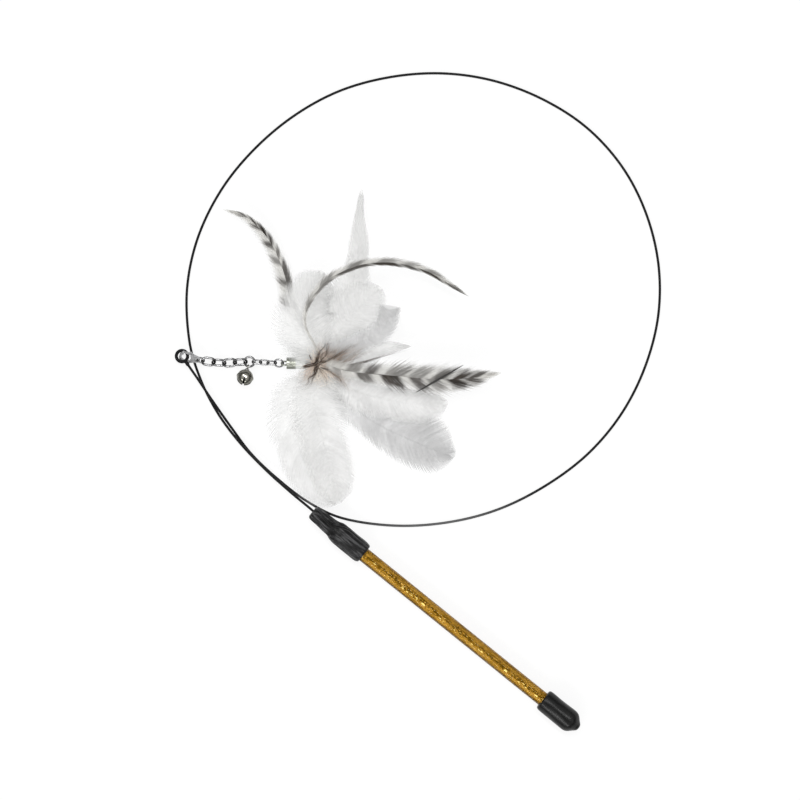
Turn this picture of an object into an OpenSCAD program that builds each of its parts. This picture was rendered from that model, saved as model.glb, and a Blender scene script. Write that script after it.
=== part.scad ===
// A cat teaser wand laid flat: tube handle, boot, coated spring wire in one big ring,
// lobster clasp, twisted chain with a jingle bell, and a bound head of feathers.
// Millimetres, +Z up. The surface it lies on is z = 0 and the origin is the middle of its
// footprint. The handle runs along Y with its butt towards -Y.

/* [Handle tube] */
// Outside diameter of the clear tube
tube_od = 7; // [6.4:0.1:8]
// Inside diameter of the clear tube
tube_id = 5; // [4.6:0.1:5.4]
// Length of tube that shows between boot and cap
tube_shown = 127.5; // [60:0.5:300]
// Length of tube inside the boot
tube_in_boot = 17; // [12:0.5:20]
// Length of tube inside the cap
tube_in_cap = 20; // [8:0.5:21]
// Thickness of the rolled glitter film
film_wall = 0.2; // [0.1:0.05:0.4]

/* [End cap] */
// Outside diameter of the cap, which is also the butt's gripping size
cap_od = 11.6; // [10:0.1:12]
// Length of the cap to the end of its dome
cap_len = 23.2; // [22.5:0.1:30]
// Length of the small moulding nub on the dome
cap_nub_len = 1.6; // [0.5:0.1:3]
// Diameter of the nub where it meets the dome
cap_nub_d = 3.4; // [2:0.1:5]

/* [Wire boot] */
// Outside diameter of the boot's sleeve
boot_od = 11.6; // [10:0.1:12]
// Whole length of the boot
boot_len = 35.2; // [32:0.1:45]
// Length of the boot's straight sleeve
boot_sleeve_len = 18; // [17:0.5:22]
// Diameter of the boot's tip
boot_tip_d = 7.2; // [5:0.1:8]
// Length of the boot's straight tip
boot_tip_len = 3.4; // [2:0.1:6]

/* [Wire and plug] */
// Diameter of the coated spring wire
wire_d = 1.4; // [1.2:0.1:1.6]
// Length of the plug in the front of the tube
plug_len = 12; // [8:0.5:15]
// Length of the crimp stop behind the plug
stop_len = 4; // [2:0.5:8]
// Diameter of the crimp stop
stop_d = 3; // [2.4:0.1:4]
// Outside diameter of the eye at the wire's end
eye_od = 8; // [7.6:0.1:8.4]
// Diameter of the eye's covered wire
eye_wire_d = 1.8; // [1.6:0.1:2]
// Length of the crimped neck between wire and eye
eye_neck_len = 2.6; // [2:0.1:4]
// Diameter of the neck
eye_neck_d = 2; // [1.8:0.1:2.2]

/* [Lobster clasp] */
// Width of the clasp across its hook
clasp_w = 7.8; // [7.6:0.1:8]
// Width of the hook's bar
clasp_bar = 1.2; // [1:0.1:1.3]
// Thickness of the clasp
clasp_t = 1.6; // [1.5:0.1:1.7]
// Distance from the middle of the hook to the hole in the tail
clasp_tail = 6; // [5.8:0.1:7]
// Diameter of the tail's lug
clasp_lug_d = 3.4; // [3:0.1:3.6]
// Diameter of the hole in the tail
clasp_hole_d = 2.1; // [1.9:0.1:2.1]
// Diameter of the lever's pin
pin_d = 0.7; // [0.6:0.05:0.8]
// Thickness of the lever
lever_t = 0.6; // [0.5:0.05:0.7]

/* [Chain] */
// Outside diameter of the jump ring in the clasp's tail
tail_ring_od = 4.8; // [4.6:0.1:5.4]
// Wire diameter of the jump rings
ring_wire_d = 0.9; // [0.8:0.05:0.95]
// Length of a large link
link_len = 8.4; // [8:0.1:9]
// Width of a large link
link_w = 6; // [5.6:0.1:6.4]
// Wire diameter of a large link
link_d = 1.2; // [1:0.05:1.25]
// Outside diameter of the round link that carries the bell
bell_link_od = 6.8; // [6.4:0.1:7.4]
// Length of a small link
small_link_len = 6; // [5.6:0.1:6.6]
// Width of a small link
small_link_w = 3.8; // [3.6:0.1:4.2]
// Wire diameter of a small link
small_link_d = 0.9; // [0.7:0.05:0.95]
// Outside diameter of the ring that carries the head
head_ring_od = 5.8; // [5.4:0.1:6.2]

/* [Bell] */
// Diameter of the jingle bell
bell_d = 9; // [8:0.1:9.4]
// Wall of the bell's cups
bell_wall = 0.45; // [0.3:0.05:0.6]
// Width of the bell's seam flange beyond the ball
bell_flange = 0.25; // [0.1:0.05:0.3]
// Width of the slots in the lower cup
bell_slot_w = 0.9; // [0.6:0.05:1.2]
// Diameter of the loose pellet
pellet_d = 2.6; // [2:0.1:3.4]
// Outside diameter of the bell's loop
bell_loop_od = 2.2; // [2:0.05:2.4]
// Wire diameter of the bell's loop and its jump ring
bell_wire_d = 0.5; // [0.4:0.05:0.55]
// Outside diameter of the bell's jump ring
bell_ring_od = 3.4; // [3.3:0.05:3.6]

/* [Feather head] */
// Diameter of the bundle of quills
bundle_d = 5; // [5:0.1:5.4]
// Length of the ferrule that holds the bundle
ferrule_len = 5; // [4:0.1:6]
// Outside diameter of the ferrule
ferrule_od = 6.4; // [6.2:0.1:7]
// Outside diameter of the ferrule's eyelet
eyelet_od = 4.2; // [4:0.1:4.6]
// Length of the clear glue sleeve
sleeve_len = 8; // [5:0.5:9]
// Length of the binding thread's windings
binding_len = 4.4; // [3:0.1:5]
// Diameter of the binding thread
thread_d = 0.5; // [0.3:0.05:0.6]
// Clear space from one winding of the thread to the next
thread_gap = 0.42; // [0.41:0.01:0.6]
// Diameter of a quill
quill_d = 0.8; // [0.6:0.05:0.85]
// Thickness of a feather's vane beside its quill
vane_t = 0.5; // [0.3:0.05:0.6]
// How far a vane's edges hang, as a share of its half width
cup_share = 0.08; // [0:0.01:0.12]

/* [White plumes] */
// Reach and width of the lower left outer plume
low_outer_reach = 80; // [70:1:90]
low_outer_w = 32; // [26:1:34]
// Reach and width of the lower left inner plume
low_inner_reach = 80; // [70:1:90]
low_inner_w = 27; // [22:1:30]
// Reach and width of the grey lower right plume
right_low_reach = 100; // [90:1:108]
right_low_w = 29; // [24:1:32]
// Reach and width of the plume over it
right_high_reach = 80; // [70:1:90]
right_high_w = 17; // [13:1:20]
// Reach and width of the tall spike plume
spike_reach = 100; // [80:1:110]
spike_w = 22; // [16:1:26]
// Reach and width of the upper left plume
top_left_reach = 50; // [44:1:56]
top_left_w = 30; // [24:1:32]
// Reach and width of the upper right plume
top_right_reach = 55; // [48:1:62]
top_right_w = 28; // [22:1:30]
// Reach and width of the small square-tipped plume
square_reach = 50; // [44:1:56]
square_w = 13; // [10:1:15]
// Reach and width of the small pointed plume
small_reach = 50; // [44:1:58]
small_w = 10; // [8:1:12]

/* [Barred feathers] */
// Reach and width of the barred feather that leans left
barred_left_reach = 100; // [80:1:110]
barred_left_w = 9.6; // [8:0.2:11]
// Reach and width of the barred feather that arches over
barred_arch_reach = 100; // [85:1:110]
barred_arch_w = 5.6; // [4:0.2:7]
// Reach and width of the barred feather in front
barred_front_reach = 100; // [85:1:110]
barred_front_w = 17.2; // [13:0.2:19]
// Length and thickness of the thin dark biot
biot_len = 30; // [20:1:36]
biot_d = 0.9; // [0.6:0.1:1.2]

/* [Brown fluff] */
// Reach of the fluff's longest barbs
fluff_reach = 24; // [16:1:26]
// Height of the fluff above its base
fluff_h = 4.5; // [3:0.5:8]

/* [Hidden] */
$fn = 48;

// Shared clearances
cut_over = 1;           // how far a cut runs past a face
plume_clear = 0.5;      // between a plume and the boot's tip that it reaches
fit_gap = 0.05;         // between pieces that fit one in the other
run_gap = 0.04;         // radial clearance of the lever on its pin
link_gap = 0.14;        // between the wires of two links that pull on each other
small_fn = 24;

// Where the handle lies
handle_x = -74.5;
handle_z = max(cap_od, boot_od) / 2;
boot_tip_y = 22.5;
tube_y = boot_tip_y - boot_len + tube_in_boot;
tube_len = tube_in_boot + tube_shown + tube_in_cap;
cap_y = boot_tip_y - boot_len - tube_shown;

// The free wire's route, laid on the surface: out of the boot, once round, under its own end
wire_route = [
    [-74.5, 22.5, 5.8], [-74.5, 25.5, 5.8], [-73.8, 40, 5.2], [-72.3, 58, 4.1], [-69.5, 78, 2.7],
    [-64.5, 97.5, 1.4], [-56, 116.5, 0.8], [-43.5, 134.5, 0.8], [-22, 153.5, 0.8],
    [3.5, 166.5, 0.8], [32, 173, 0.8], [60.5, 173, 0.8], [89, 167.5, 0.8], [115.5, 156.5, 0.8],
    [139, 139.5, 0.8], [158.5, 118.5, 0.8], [173, 94, 0.8], [182, 66.5, 0.8], [185, 38, 0.8],
    [180.5, 9.5, 0.8], [169, -16.5, 0.8], [151.5, -39.5, 0.8], [129, -57.5, 0.8],
    [102.5, -69.5, 0.8], [74.5, -75.5, 0.8], [46, -75, 0.8], [18, -68, 0.8], [-8.5, -56, 0.8],
    [-31.5, -39, 0.8], [-51, -17.5, 0.8], [-65.5, 7.5, 0.8], [-71, 28.5, 0.8], [-72, 50, 0.8],
    [-70.4, 69, 0.8], [-66.2, 86, 1.2], [-60.9, 104.5, 2.4], [-57, 117, 3.7],
    [-54.7, 124.7, 4.5], [-54.2, 126.4, 4.5]
];
wire_last = wire_route[len(wire_route) - 1];
wire_before_last = wire_route[len(wire_route) - 2];

// The eye stands on the wire's last stretch, and the lure is laid out from the eye's middle
function unit(v) = v / norm(v);
eye_r = (eye_od - eye_wire_d) / 2;
eye_heading = unit(wire_last - wire_before_last);
eye_at = wire_last + eye_heading * (eye_neck_len + eye_od / 2 - eye_wire_d / 4);
lure_turn = -51;        // the chain's heading in plan
clasp_yaw = -12;        // the clasp's heading, from the chain's
clasp_tilt = 40;        // how far the clasp leans over to pass through the eye

// The clasp, in its own plane: x from the middle of the hook to the tail
hook_r = clasp_w / 2;
hook_x = hook_r - 1.25 * clasp_bar;     // the hook's nose passes through the eye
gate_x = -0.4 * hook_r;
gate_pivot = [0.75 * hook_r, 0.62 * hook_r];
gate_bar = 0.8 * clasp_bar;
slot_t = lever_t + 2 * fit_gap;

// The chain: each link hangs on the end wire of the one before it
flat_tilt = 35;
edge_tilt = -50;
bell_link_tilt = 20;
tail_ring_r = (tail_ring_od - ring_wire_d) / 2;
tail_bow = tail_ring_r - sqrt(pow(tail_ring_r, 2) - pow(clasp_t / 2, 2));
tail_x = hook_x + clasp_tail + (clasp_hole_d - ring_wire_d) / 2 - tail_bow - 2 * link_gap;

// Length, width, wire diameter, tilt, heading in plan and climb of each link in turn
chain_sizes = [
    [tail_ring_od, tail_ring_od, ring_wire_d, clasp_tilt - 90, -12, -5],
    [link_len, link_w, link_d, flat_tilt, -9, -11],
    [link_len, link_w, link_d, edge_tilt, -3, -2],
    [link_len, link_w, link_d, flat_tilt, 4, 0],
    [link_len, link_w, link_d, edge_tilt, 3, 0],
    [bell_link_od, bell_link_od, link_d, bell_link_tilt, -1, 0],
    [small_link_len, small_link_w, small_link_d, edge_tilt, -3, 2],
    [small_link_len, small_link_w, small_link_d, flat_tilt, -4, 3],
    [small_link_len, small_link_w, small_link_d, edge_tilt, -3, 5],
    [head_ring_od, head_ring_od, ring_wire_d, flat_tilt, -2, 6],
    [eyelet_od, eyelet_od, ring_wire_d, edge_tilt, 0, 0]
];
function heading(link) = let (yaw = link[4], climb = link[5])
    [cos(yaw) * cos(climb), sin(yaw) * cos(climb), sin(climb)];
function across(link) = let (yaw = link[4], climb = link[5], tilt = link[3])
    [
        -sin(yaw) * cos(tilt) - cos(yaw) * sin(climb) * sin(tilt) * -1,
        cos(yaw) * cos(tilt) + sin(yaw) * sin(climb) * sin(tilt) * -1,
        cos(climb) * sin(tilt)
    ];
// Middle of the wire at a link's near end, from the far end wire of the link before it
function near_end(k) = k == 0
    ? [tail_x * cos(clasp_yaw), tail_x * sin(clasp_yaw), 0]
    : far_end(k - 1) - heading(chain_sizes[k])
        * ((chain_sizes[k - 1][2] + chain_sizes[k][2]) / 2 + link_gap);
function far_end(k) = near_end(k)
    + heading(chain_sizes[k]) * (chain_sizes[k][0] - chain_sizes[k][2]);

// The bell hangs on the lower side of its round link
bell_hang = -105;       // where on the link's rim the bell's ring passes, in degrees
bell_heading = -105;    // the bell's heading in plan
bell_climb = 25;        // how far the ball end rises, because the ball is larger than the loop
bell_link_r = (bell_link_od - link_d) / 2;
bell_ring_r = (bell_ring_od - bell_wire_d) / 2;
bell_loop_r = (bell_loop_od - bell_wire_d) / 2;
bell_ring_at = bell_ring_r - (link_d + bell_wire_d) / 2 - link_gap;
bell_hook_at = bell_ring_at + bell_ring_r;
bell_loop_at = bell_hook_at - bell_wire_d - link_gap + bell_loop_r;
bell_at = bell_hook_at + bell_wire_d / 2 + 2 * link_gap + bell_d / 2;
bell_out = [
    cos(bell_heading) * cos(bell_climb), sin(bell_heading) * cos(bell_climb), sin(bell_climb)
];

// The head: quills in three rows inside the ferrule, the glue sleeve and the thread
head_start = far_end(9) + [-(ring_wire_d + link_gap) + eyelet_od - 1.5 * ring_wire_d, 0, 0];
quill_pitch = bundle_d / 5.2;
quill_rows = [[-1, -1.5], [-1, -0.5], [-1, 0.5], [-1, 1.5], [0, -2], [0, -1], [0, 0], [0, 1],
    [0, 2], [1, -1.5], [1, -0.5], [1, 0.5], [1, 1.5]];
bundle_len = sleeve_len + binding_len;
head_mouth = bundle_len + ferrule_len / 2;

// The thread's path: a helix round the bundle behind its mouth, 24 rings to a turn
thread_pitch = thread_d + thread_gap;
thread_turns = floor((binding_len - thread_d) / thread_pitch);
thread_r = bundle_d / 2 + fit_gap + thread_d / 2;
thread_path = [
    for (k = [0:24 * thread_turns])
        [-thread_pitch * k / 24, thread_r * sin(15 * k), thread_r * cos(15 * k)]
];
thread_clear = min([
    for (i = [0:24:len(thread_path) - 1], j = [i + 12:len(thread_path) - 1])
        norm(thread_path[j] - thread_path[i]) - thread_d
]);
echo(thread_clear = thread_clear);

// Rows of a feather's route and half width: x, y, height and width, as shares of its reach,
// its reach, the bundle's diameter and its half width
low_outer_shares = [[0.005, -0.05, 0.1, 0.05], [-0.02, -0.13, 0.3, 0.3], [-0.1, -0.25, 0.6, 0.8],
    [-0.125, -0.41, 0.75, 0.95], [-0.09, -0.59, 0.8, 1], [-0.01, -0.75, 0.9, 1],
    [0.075, -0.86, 1.1, 0.8], [0.13, -0.92, 1.3, 0.5], [0.16, -0.95, 1.4, 0.05]];
low_inner_shares = [[0.03, -0.05, 0.1, 0.05], [0.02, -0.13, 0.6, 0.3], [0, -0.25, 1.1, 0.7],
    [0.04, -0.41, 1.35, 0.95], [0.085, -0.59, 1.4, 1], [0.125, -0.74, 1.5, 0.95],
    [0.155, -0.87, 1.65, 0.7], [0.17, -0.94, 1.75, 0.1]];
right_low_shares = [[0.05, -0.035, -0.18, 0.05], [0.11, -0.13, -0.08, 0.15],
    [0.2, -0.225, 0, 0.45], [0.34, -0.325, 0.05, 0.75], [0.5, -0.405, 0.05, 0.97],
    [0.62, -0.455, 0.05, 1], [0.7, -0.485, 0.1, 0.85], [0.76, -0.5, 0.15, 0.3],
    [0.775, -0.505, 0.15, 0.05]];
right_high_shares = [[0.05, -0.03, 0.05, 0.06], [0.17, -0.12, 0.15, 0.3], [0.34, -0.2, 0.3, 0.8],
    [0.56, -0.25, 0.35, 1], [0.74, -0.27, 0.4, 1], [0.86, -0.265, 0.45, 0.7],
    [0.92, -0.26, 0.45, 0.1]];
spike_shares = [[0.05, 0.045, -0.2, 0.05], [0.09, 0.15, -0.15, 0.4], [0.155, 0.28, -0.05, 0.95],
    [0.21, 0.42, -0.05, 1], [0.24, 0.56, 0, 0.6], [0.25, 0.66, 0.05, 0.54],
    [0.25, 0.75, 0.1, 0.38], [0.255, 0.84, 0.2, 0.22], [0.262, 0.91, 0.35, 0.14],
    [0.266, 0.95, 0.4, 0.03]];
top_left_shares = [[-0.015, 0.08, 0.6, 0.05], [-0.06, 0.18, 0.6, 0.4], [-0.12, 0.34, 0.75, 0.85],
    [-0.13, 0.54, 0.65, 1], [-0.05, 0.74, 0.7, 0.95], [0.06, 0.9, 0.8, 0.6],
    [0.1, 0.97, 0.85, 0.1]];
top_right_shares = [[0.05, 0.045, 0.05, 0.05], [0.12, 0.15, 0.3, 0.3], [0.26, 0.32, 0.3, 0.8],
    [0.41, 0.49, 0.3, 1], [0.55, 0.63, 0.3, 0.85], [0.64, 0.71, 0.3, 0.5],
    [0.67, 0.74, 0.3, 0.1]];
square_shares = [[0.06, 0.02, 0.2, 0.1], [0.26, 0.1, 0.8, 0.15], [0.5, 0.21, 1.1, 0.4],
    [0.7, 0.3, 1.2, 0.75], [0.8, 0.42, 1.25, 0.95], [0.83, 0.56, 1.3, 1], [0.84, 0.62, 1.3, 0.9]];
small_shares = [[0.06, 0, 0.1, 0.1], [0.3, 0.06, 0.5, 0.5], [0.58, 0.12, 0.75, 1],
    [0.84, 0.17, 0.8, 0.8], [1, 0.18, 0.8, 0.3], [1.07, 0.185, 0.8, 0.05]];
barred_left_shares = [[0.02, 0.03, 0.08, 0.1], [0.01, 0.08, 0.1, 0.1],
    [-0.02, 0.15, 0.05, 0.12], [-0.085, 0.24, 0.1, 0.5], [-0.13, 0.335, 0, 0.98],
    [-0.145, 0.41, 0, 1], [-0.17, 0.505, 0.1, 0.95], [-0.21, 0.6, 0.25, 0.88],
    [-0.25, 0.67, 0.35, 0.8], [-0.315, 0.745, 0.5, 0.6], [-0.39, 0.8, 0.6, 0.4],
    [-0.495, 0.83, 0.7, 0.06]];
barred_arch_shares = [[0.025, 0.03, 0.3, 0.15], [0, 0.1, 1, 0.15], [-0.04, 0.18, 1.6, 0.3],
    [-0.04, 0.27, 1.9, 0.6], [0.01, 0.365, 2, 0.85], [0.09, 0.445, 2, 1], [0.22, 0.51, 2, 1],
    [0.355, 0.535, 2, 1], [0.49, 0.525, 1.9, 1], [0.625, 0.485, 1.8, 0.95],
    [0.745, 0.415, 1.7, 0.7], [0.85, 0.35, 1.6, 0.08]];
barred_front_shares = [[0.03, 0.005, 0.6, 0.05], [0.1, -0.01, 1.5, 0.08],
    [0.175, -0.035, 1.85, 0.3], [0.33, -0.055, 1.9, 0.5], [0.46, -0.065, 1.9, 0.85],
    [0.6, -0.08, 1.85, 1], [0.75, -0.085, 1.8, 0.96], [0.89, -0.075, 1.75, 0.62],
    [0.97, -0.06, 1.75, 0.3], [1.03, -0.05, 1.75, 0.03]];
// Heading and reach of the fluff's barbs: degrees, share of the longest
fluff_shares = [[0, 0.9], [24, 1], [45, 0.75], [68, 0.95], [86, 1], [108, 0.75], [135, 0.55],
    [165, 0.5], [195, 0.6], [222, 0.85], [245, 1], [268, 0.7], [292, 0.85], [315, 1],
    [338, 0.75]];

// How far a low plume runs level before the boot, over which a longer one climbs
head_mouth_u = head_start.x + head_mouth;
head_mouth_v = head_start.y;
boot_free = norm([
    eye_at.x + cos(lure_turn) * head_mouth_u - sin(lure_turn) * head_mouth_v - handle_x,
    eye_at.y + sin(lure_turn) * head_mouth_u + cos(lure_turn) * head_mouth_v - boot_tip_y
]) - boot_tip_d / 2 - plume_clear;

// A point of the smooth curve that passes through every row of a table
function spline_at(rows, i, t) = let (
    a = rows[max(i - 1, 0)], b = rows[i], c = rows[i + 1], d = rows[min(i + 2, len(rows) - 1)]
) b + 0.5 * t * ((c - a) + t * ((2 * a - 5 * b + 4 * c - d) + t * (3 * (b - c) + d - a)));
function spline(rows, steps) = [
    for (i = [0:len(rows) - 2], k = [0:steps - 1]) spline_at(rows, i, k / steps),
    rows[len(rows) - 1]
];

// The wire's swept path, whose first and last stretches run straight
wire_path = let (smooth = spline(wire_route, 2), last = len(smooth) - 1)
    [for (i = [0:last]) if (i != 1 && i != last - 1) smooth[i]];

// A closed solid through a list of rings that all have as many points
module skin(rings) {
    n = len(rings[0]);
    last = len(rings) - 1;
    polyhedron(
        points = [for (ring = rings, p = ring) p],
        faces = concat(
            [[for (j = [0:n - 1]) j]],
            [
                for (i = [0:last - 1], j = [0:n - 1]) each [
                    [i * n + j, (i + 1) * n + j, (i + 1) * n + (j + 1) % n],
                    [i * n + j, (i + 1) * n + (j + 1) % n, i * n + (j + 1) % n]
                ]
            ],
            [[for (j = [n - 1:-1:0]) last * n + j]]
        )
    );
}

// Rings of a round tube along a path
function tube_rings(path, r, sides) = let (last = len(path) - 1) [
    for (i = [0:last]) let (
        along = unit(path[min(i + 1, last)] - path[max(i - 1, 0)]),
        side = unit(cross(along, [0, 0, 1])),
        up = cross(side, along)
    ) [for (j = [0:sides - 1]) let (a = 360 * j / sides) path[i] + r * (cos(a) * side - sin(a) * up)]
];

// Turns a shape made along +Z so that it runs along the handle towards the butt
module along_handle(y) {
    translate([handle_x, y, handle_z]) rotate([90, 0, 0]) children();
}

module at_lure() {
    translate(eye_at) rotate([0, 0, lure_turn]) children();
}

// A ring or oval of wire, its near end wire at the origin, running along +X
module wire_link(length, width, d) {
    bend = (width - d) / 2;
    run = length - width;
    translate([bend, 0, 0]) rotate([0, 0, 90])
        rotate_extrude(angle = 180) translate([bend, 0]) circle(d = d, $fn = small_fn);
    translate([bend + run, 0, 0]) rotate([0, 0, -90])
        rotate_extrude(angle = 180) translate([bend, 0]) circle(d = d, $fn = small_fn);
    if (run > 0)
        for (side = [-1, 1])
            translate([bend, side * bend, 0]) rotate([0, 90, 0])
                cylinder(d = d, h = run, $fn = small_fn);
}

// The link with this place in the chain
module chain_piece(k) {
    link = chain_sizes[k];
    at_lure() translate(near_end(k)) rotate([0, -link[5], link[4]]) rotate([link[3], 0, 0])
        wire_link(link[0], link[1], link[2]);
}

module at_clasp() {
    at_lure() rotate([0, 0, clasp_yaw]) rotate([clasp_tilt, 0, 0]) children();
}

module at_bell_link_rim() {
    at_lure() translate(near_end(5))
        rotate([0, -chain_sizes[5][5], chain_sizes[5][4]]) rotate([bell_link_tilt, 0, 0])
            translate([bell_link_r * (1 + cos(bell_hang)), bell_link_r * sin(bell_hang), 0])
                rotate([-bell_link_tilt, 0, 0]) rotate([0, 0, -chain_sizes[5][4]]) children();
}

// From the rim of the bell's link, along the bell's axis
module at_bell(distance, roll) {
    at_bell_link_rim() translate(bell_out * distance)
        rotate([0, 90 - bell_climb, bell_heading]) rotate([0, 0, roll]) children();
}

module at_head() {
    at_lure() translate(head_start) children();
}

module handle_tube() {
    color([0.86, 0.78, 0.6]) along_handle(tube_y) difference() {
        cylinder(d = tube_od, h = tube_len);
        translate([0, 0, -cut_over]) cylinder(d = tube_id, h = tube_len + 2 * cut_over);
    }
}

module glitter_film() {
    film_start = plug_len + stop_len + fit_gap;
    film_len = tube_len - film_start;
    film_d = tube_id - 2 * fit_gap;
    color([0.72, 0.52, 0.2]) along_handle(tube_y - film_start) difference() {
        cylinder(d = film_d, h = film_len);
        translate([0, 0, -cut_over])
            cylinder(d = film_d - 2 * film_wall, h = film_len + 2 * cut_over);
    }
}

module end_cap() {
    dome_r = cap_od / 3;
    rim_r = cap_od / 24;
    bore_r = tube_od / 2 + fit_gap;
    color([0.09, 0.09, 0.09]) along_handle(cap_y) rotate_extrude() polygon(concat(
        [[bore_r, 0], [cap_od / 2 - rim_r, 0], [cap_od / 2, rim_r]],
        [
            for (a = [0:15:75])
                [cap_od / 2 - dome_r * (1 - cos(a)), cap_len - dome_r * (1 - sin(a))]
        ],
        [
            [cap_nub_d / 2, cap_len], [cap_nub_d / 5, cap_len + cap_nub_len],
            [0, cap_len + cap_nub_len], [0, tube_in_cap + fit_gap], [bore_r, tube_in_cap + fit_gap]
        ]
    ));
}

module wire_boot() {
    bore_r = tube_od / 2 + fit_gap;
    wire_r = wire_d / 2 + fit_gap;
    shoulder = boot_len - tube_in_boot - fit_gap;
    rim_r = boot_od / 24;
    swell = boot_len - boot_sleeve_len;
    color([0.13, 0.13, 0.13]) along_handle(boot_tip_y) rotate_extrude() polygon([
        [wire_r, 0], [boot_tip_d / 2 - rim_r, 0], [boot_tip_d / 2, rim_r],
        [boot_tip_d / 2 + rim_r / 2, boot_tip_len],
        [(boot_tip_d + boot_od) / 4 + rim_r / 2, (boot_tip_len + swell) / 2],
        [boot_od / 2 - rim_r / 2, swell - rim_r],
        [boot_od / 2, swell + boot_sleeve_len / 6], [boot_od / 2, boot_len - rim_r],
        [boot_od / 2 - rim_r, boot_len], [bore_r, boot_len], [bore_r, shoulder],
        [wire_r, boot_tip_len]
    ]);
}

module tube_plug() {
    color([0.75, 0.75, 0.72]) along_handle(tube_y) difference() {
        cylinder(d = tube_id - 2 * fit_gap, h = plug_len);
        translate([0, 0, -cut_over])
            cylinder(d = wire_d + 2 * fit_gap, h = plug_len + 2 * cut_over);
    }
}

module wire_tang() {
    color([0.35, 0.35, 0.36]) along_handle(boot_tip_y)
        cylinder(d = wire_d, h = boot_tip_y - tube_y + plug_len + stop_len);
}

module tang_stop() {
    color([0.8, 0.65, 0.3]) along_handle(tube_y - plug_len) difference() {
        cylinder(d = stop_d, h = stop_len);
        translate([0, 0, -cut_over])
            cylinder(d = wire_d + 2 * fit_gap, h = stop_len + 2 * cut_over);
    }
}

module wand_wire() {
    color([0.08, 0.08, 0.08]) skin(tube_rings(wire_path, wire_d / 2, 8));
}

module wire_eye() {
    turn = atan2(eye_heading.y, eye_heading.x);
    neck_len = norm(eye_at - wire_last) - eye_r;
    color([0.07, 0.07, 0.07]) {
        translate(eye_at) rotate_extrude() translate([eye_r, 0])
            circle(d = eye_wire_d, $fn = small_fn);
        translate(wire_last) rotate([0, 90, turn]) cylinder(d = eye_neck_d, h = neck_len);
    }
}

// The clasp's flat outline with its opening, and the gap that its gate closes
module clasp_plan() {
    difference() {
        union() {
            translate([hook_x, 0]) circle(r = hook_r);
            polygon([
                [hook_x, -hook_r], [hook_x + clasp_tail, -clasp_lug_d / 2],
                [hook_x + clasp_tail, clasp_lug_d / 2], [hook_x, hook_r]
            ]);
            translate([hook_x + clasp_tail, 0]) circle(d = clasp_lug_d);
        }
        translate([hook_x, 0]) circle(r = hook_r - clasp_bar);
        translate([hook_x, -0.62 * hook_r]) square([0.55 * hook_r, 1.24 * hook_r]);
        translate([hook_x + clasp_tail, 0]) circle(d = clasp_hole_d);
    }
}

module clasp_body() {
    color([0.78, 0.78, 0.8]) at_clasp() difference() {
        translate([0, 0, -clasp_t / 2]) linear_extrude(clasp_t) clasp_plan();
        translate([hook_x + gate_x, hook_r / 3, -clasp_t])
            cube([gate_pivot.x - gate_x - pin_d, hook_r, 2 * clasp_t]);
        translate([hook_x + gate_x, hook_r / 4, -slot_t / 2])
            cube([gate_pivot.x - gate_x + 1.6 * pin_d, hook_r, slot_t]);
        translate([hook_x + gate_pivot.x, gate_pivot.y, -clasp_t])
            cylinder(d = pin_d, h = 2 * clasp_t, $fn = small_fn);
    }
}

module clasp_lever() {
    reach = gate_pivot.x - gate_x - 3 * fit_gap;
    color([0.85, 0.85, 0.87]) at_clasp()
        translate([hook_x + gate_pivot.x, gate_pivot.y, -lever_t / 2]) difference() {
            union() {
                linear_extrude(lever_t) polygon([
                    [-reach, gate_bar / 4], [pin_d / 2, -gate_bar / 2],
                    [pin_d, gate_bar / 2], [0, gate_bar], [-pin_d, 1.9 * gate_bar],
                    [-2 * pin_d, 1.7 * gate_bar], [-2.4 * pin_d, 1.25 * gate_bar],
                    [-reach, 1.25 * gate_bar]
                ]);
                cylinder(d = 1.8 * pin_d, h = lever_t, $fn = small_fn);
            }
            translate([0, 0, -cut_over])
                cylinder(d = pin_d + 2 * run_gap, h = lever_t + 2 * cut_over, $fn = small_fn);
        }
}

module clasp_pin() {
    color([0.6, 0.6, 0.62]) at_clasp()
        translate([hook_x + gate_pivot.x, gate_pivot.y, -clasp_t / 2])
            cylinder(d = pin_d, h = clasp_t, $fn = small_fn);
}

module clasp_spring() {
    coil_r = lever_t / 4;
    coil_wire = lever_t / 5;
    floor_y = hook_r / 4 + coil_wire / 2 + 2 * fit_gap;
    top_y = gate_pivot.y - 0.9 * pin_d - coil_wire / 2 - 2 * fit_gap;
    turns = 2;
    steps = 8;
    coil = [
        for (i = [0:turns * steps]) let (a = 360 * i / steps, t = i / (turns * steps)) [
            hook_x + gate_pivot.x + pin_d / 2 + coil_r * cos(a),
            floor_y + (top_y - floor_y) * t,
            coil_r * sin(a)
        ]
    ];
    color([0.5, 0.5, 0.52]) at_clasp() skin(tube_rings(coil, coil_wire / 2, 6));
}

module bell_ring() {
    color([0.75, 0.75, 0.77])
        at_bell(bell_ring_at, 90) rotate([0, -90, 0])
            rotate_extrude() translate([bell_ring_r, 0]) circle(d = bell_wire_d, $fn = small_fn);
}

module bell_cup(upper) {
    difference() {
        sphere(d = bell_d);
        sphere(d = bell_d - 2 * bell_wall);
        translate([-bell_d, -bell_d, upper ? 0 : -2 * bell_d]) cube(2 * bell_d);
    }
}

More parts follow.
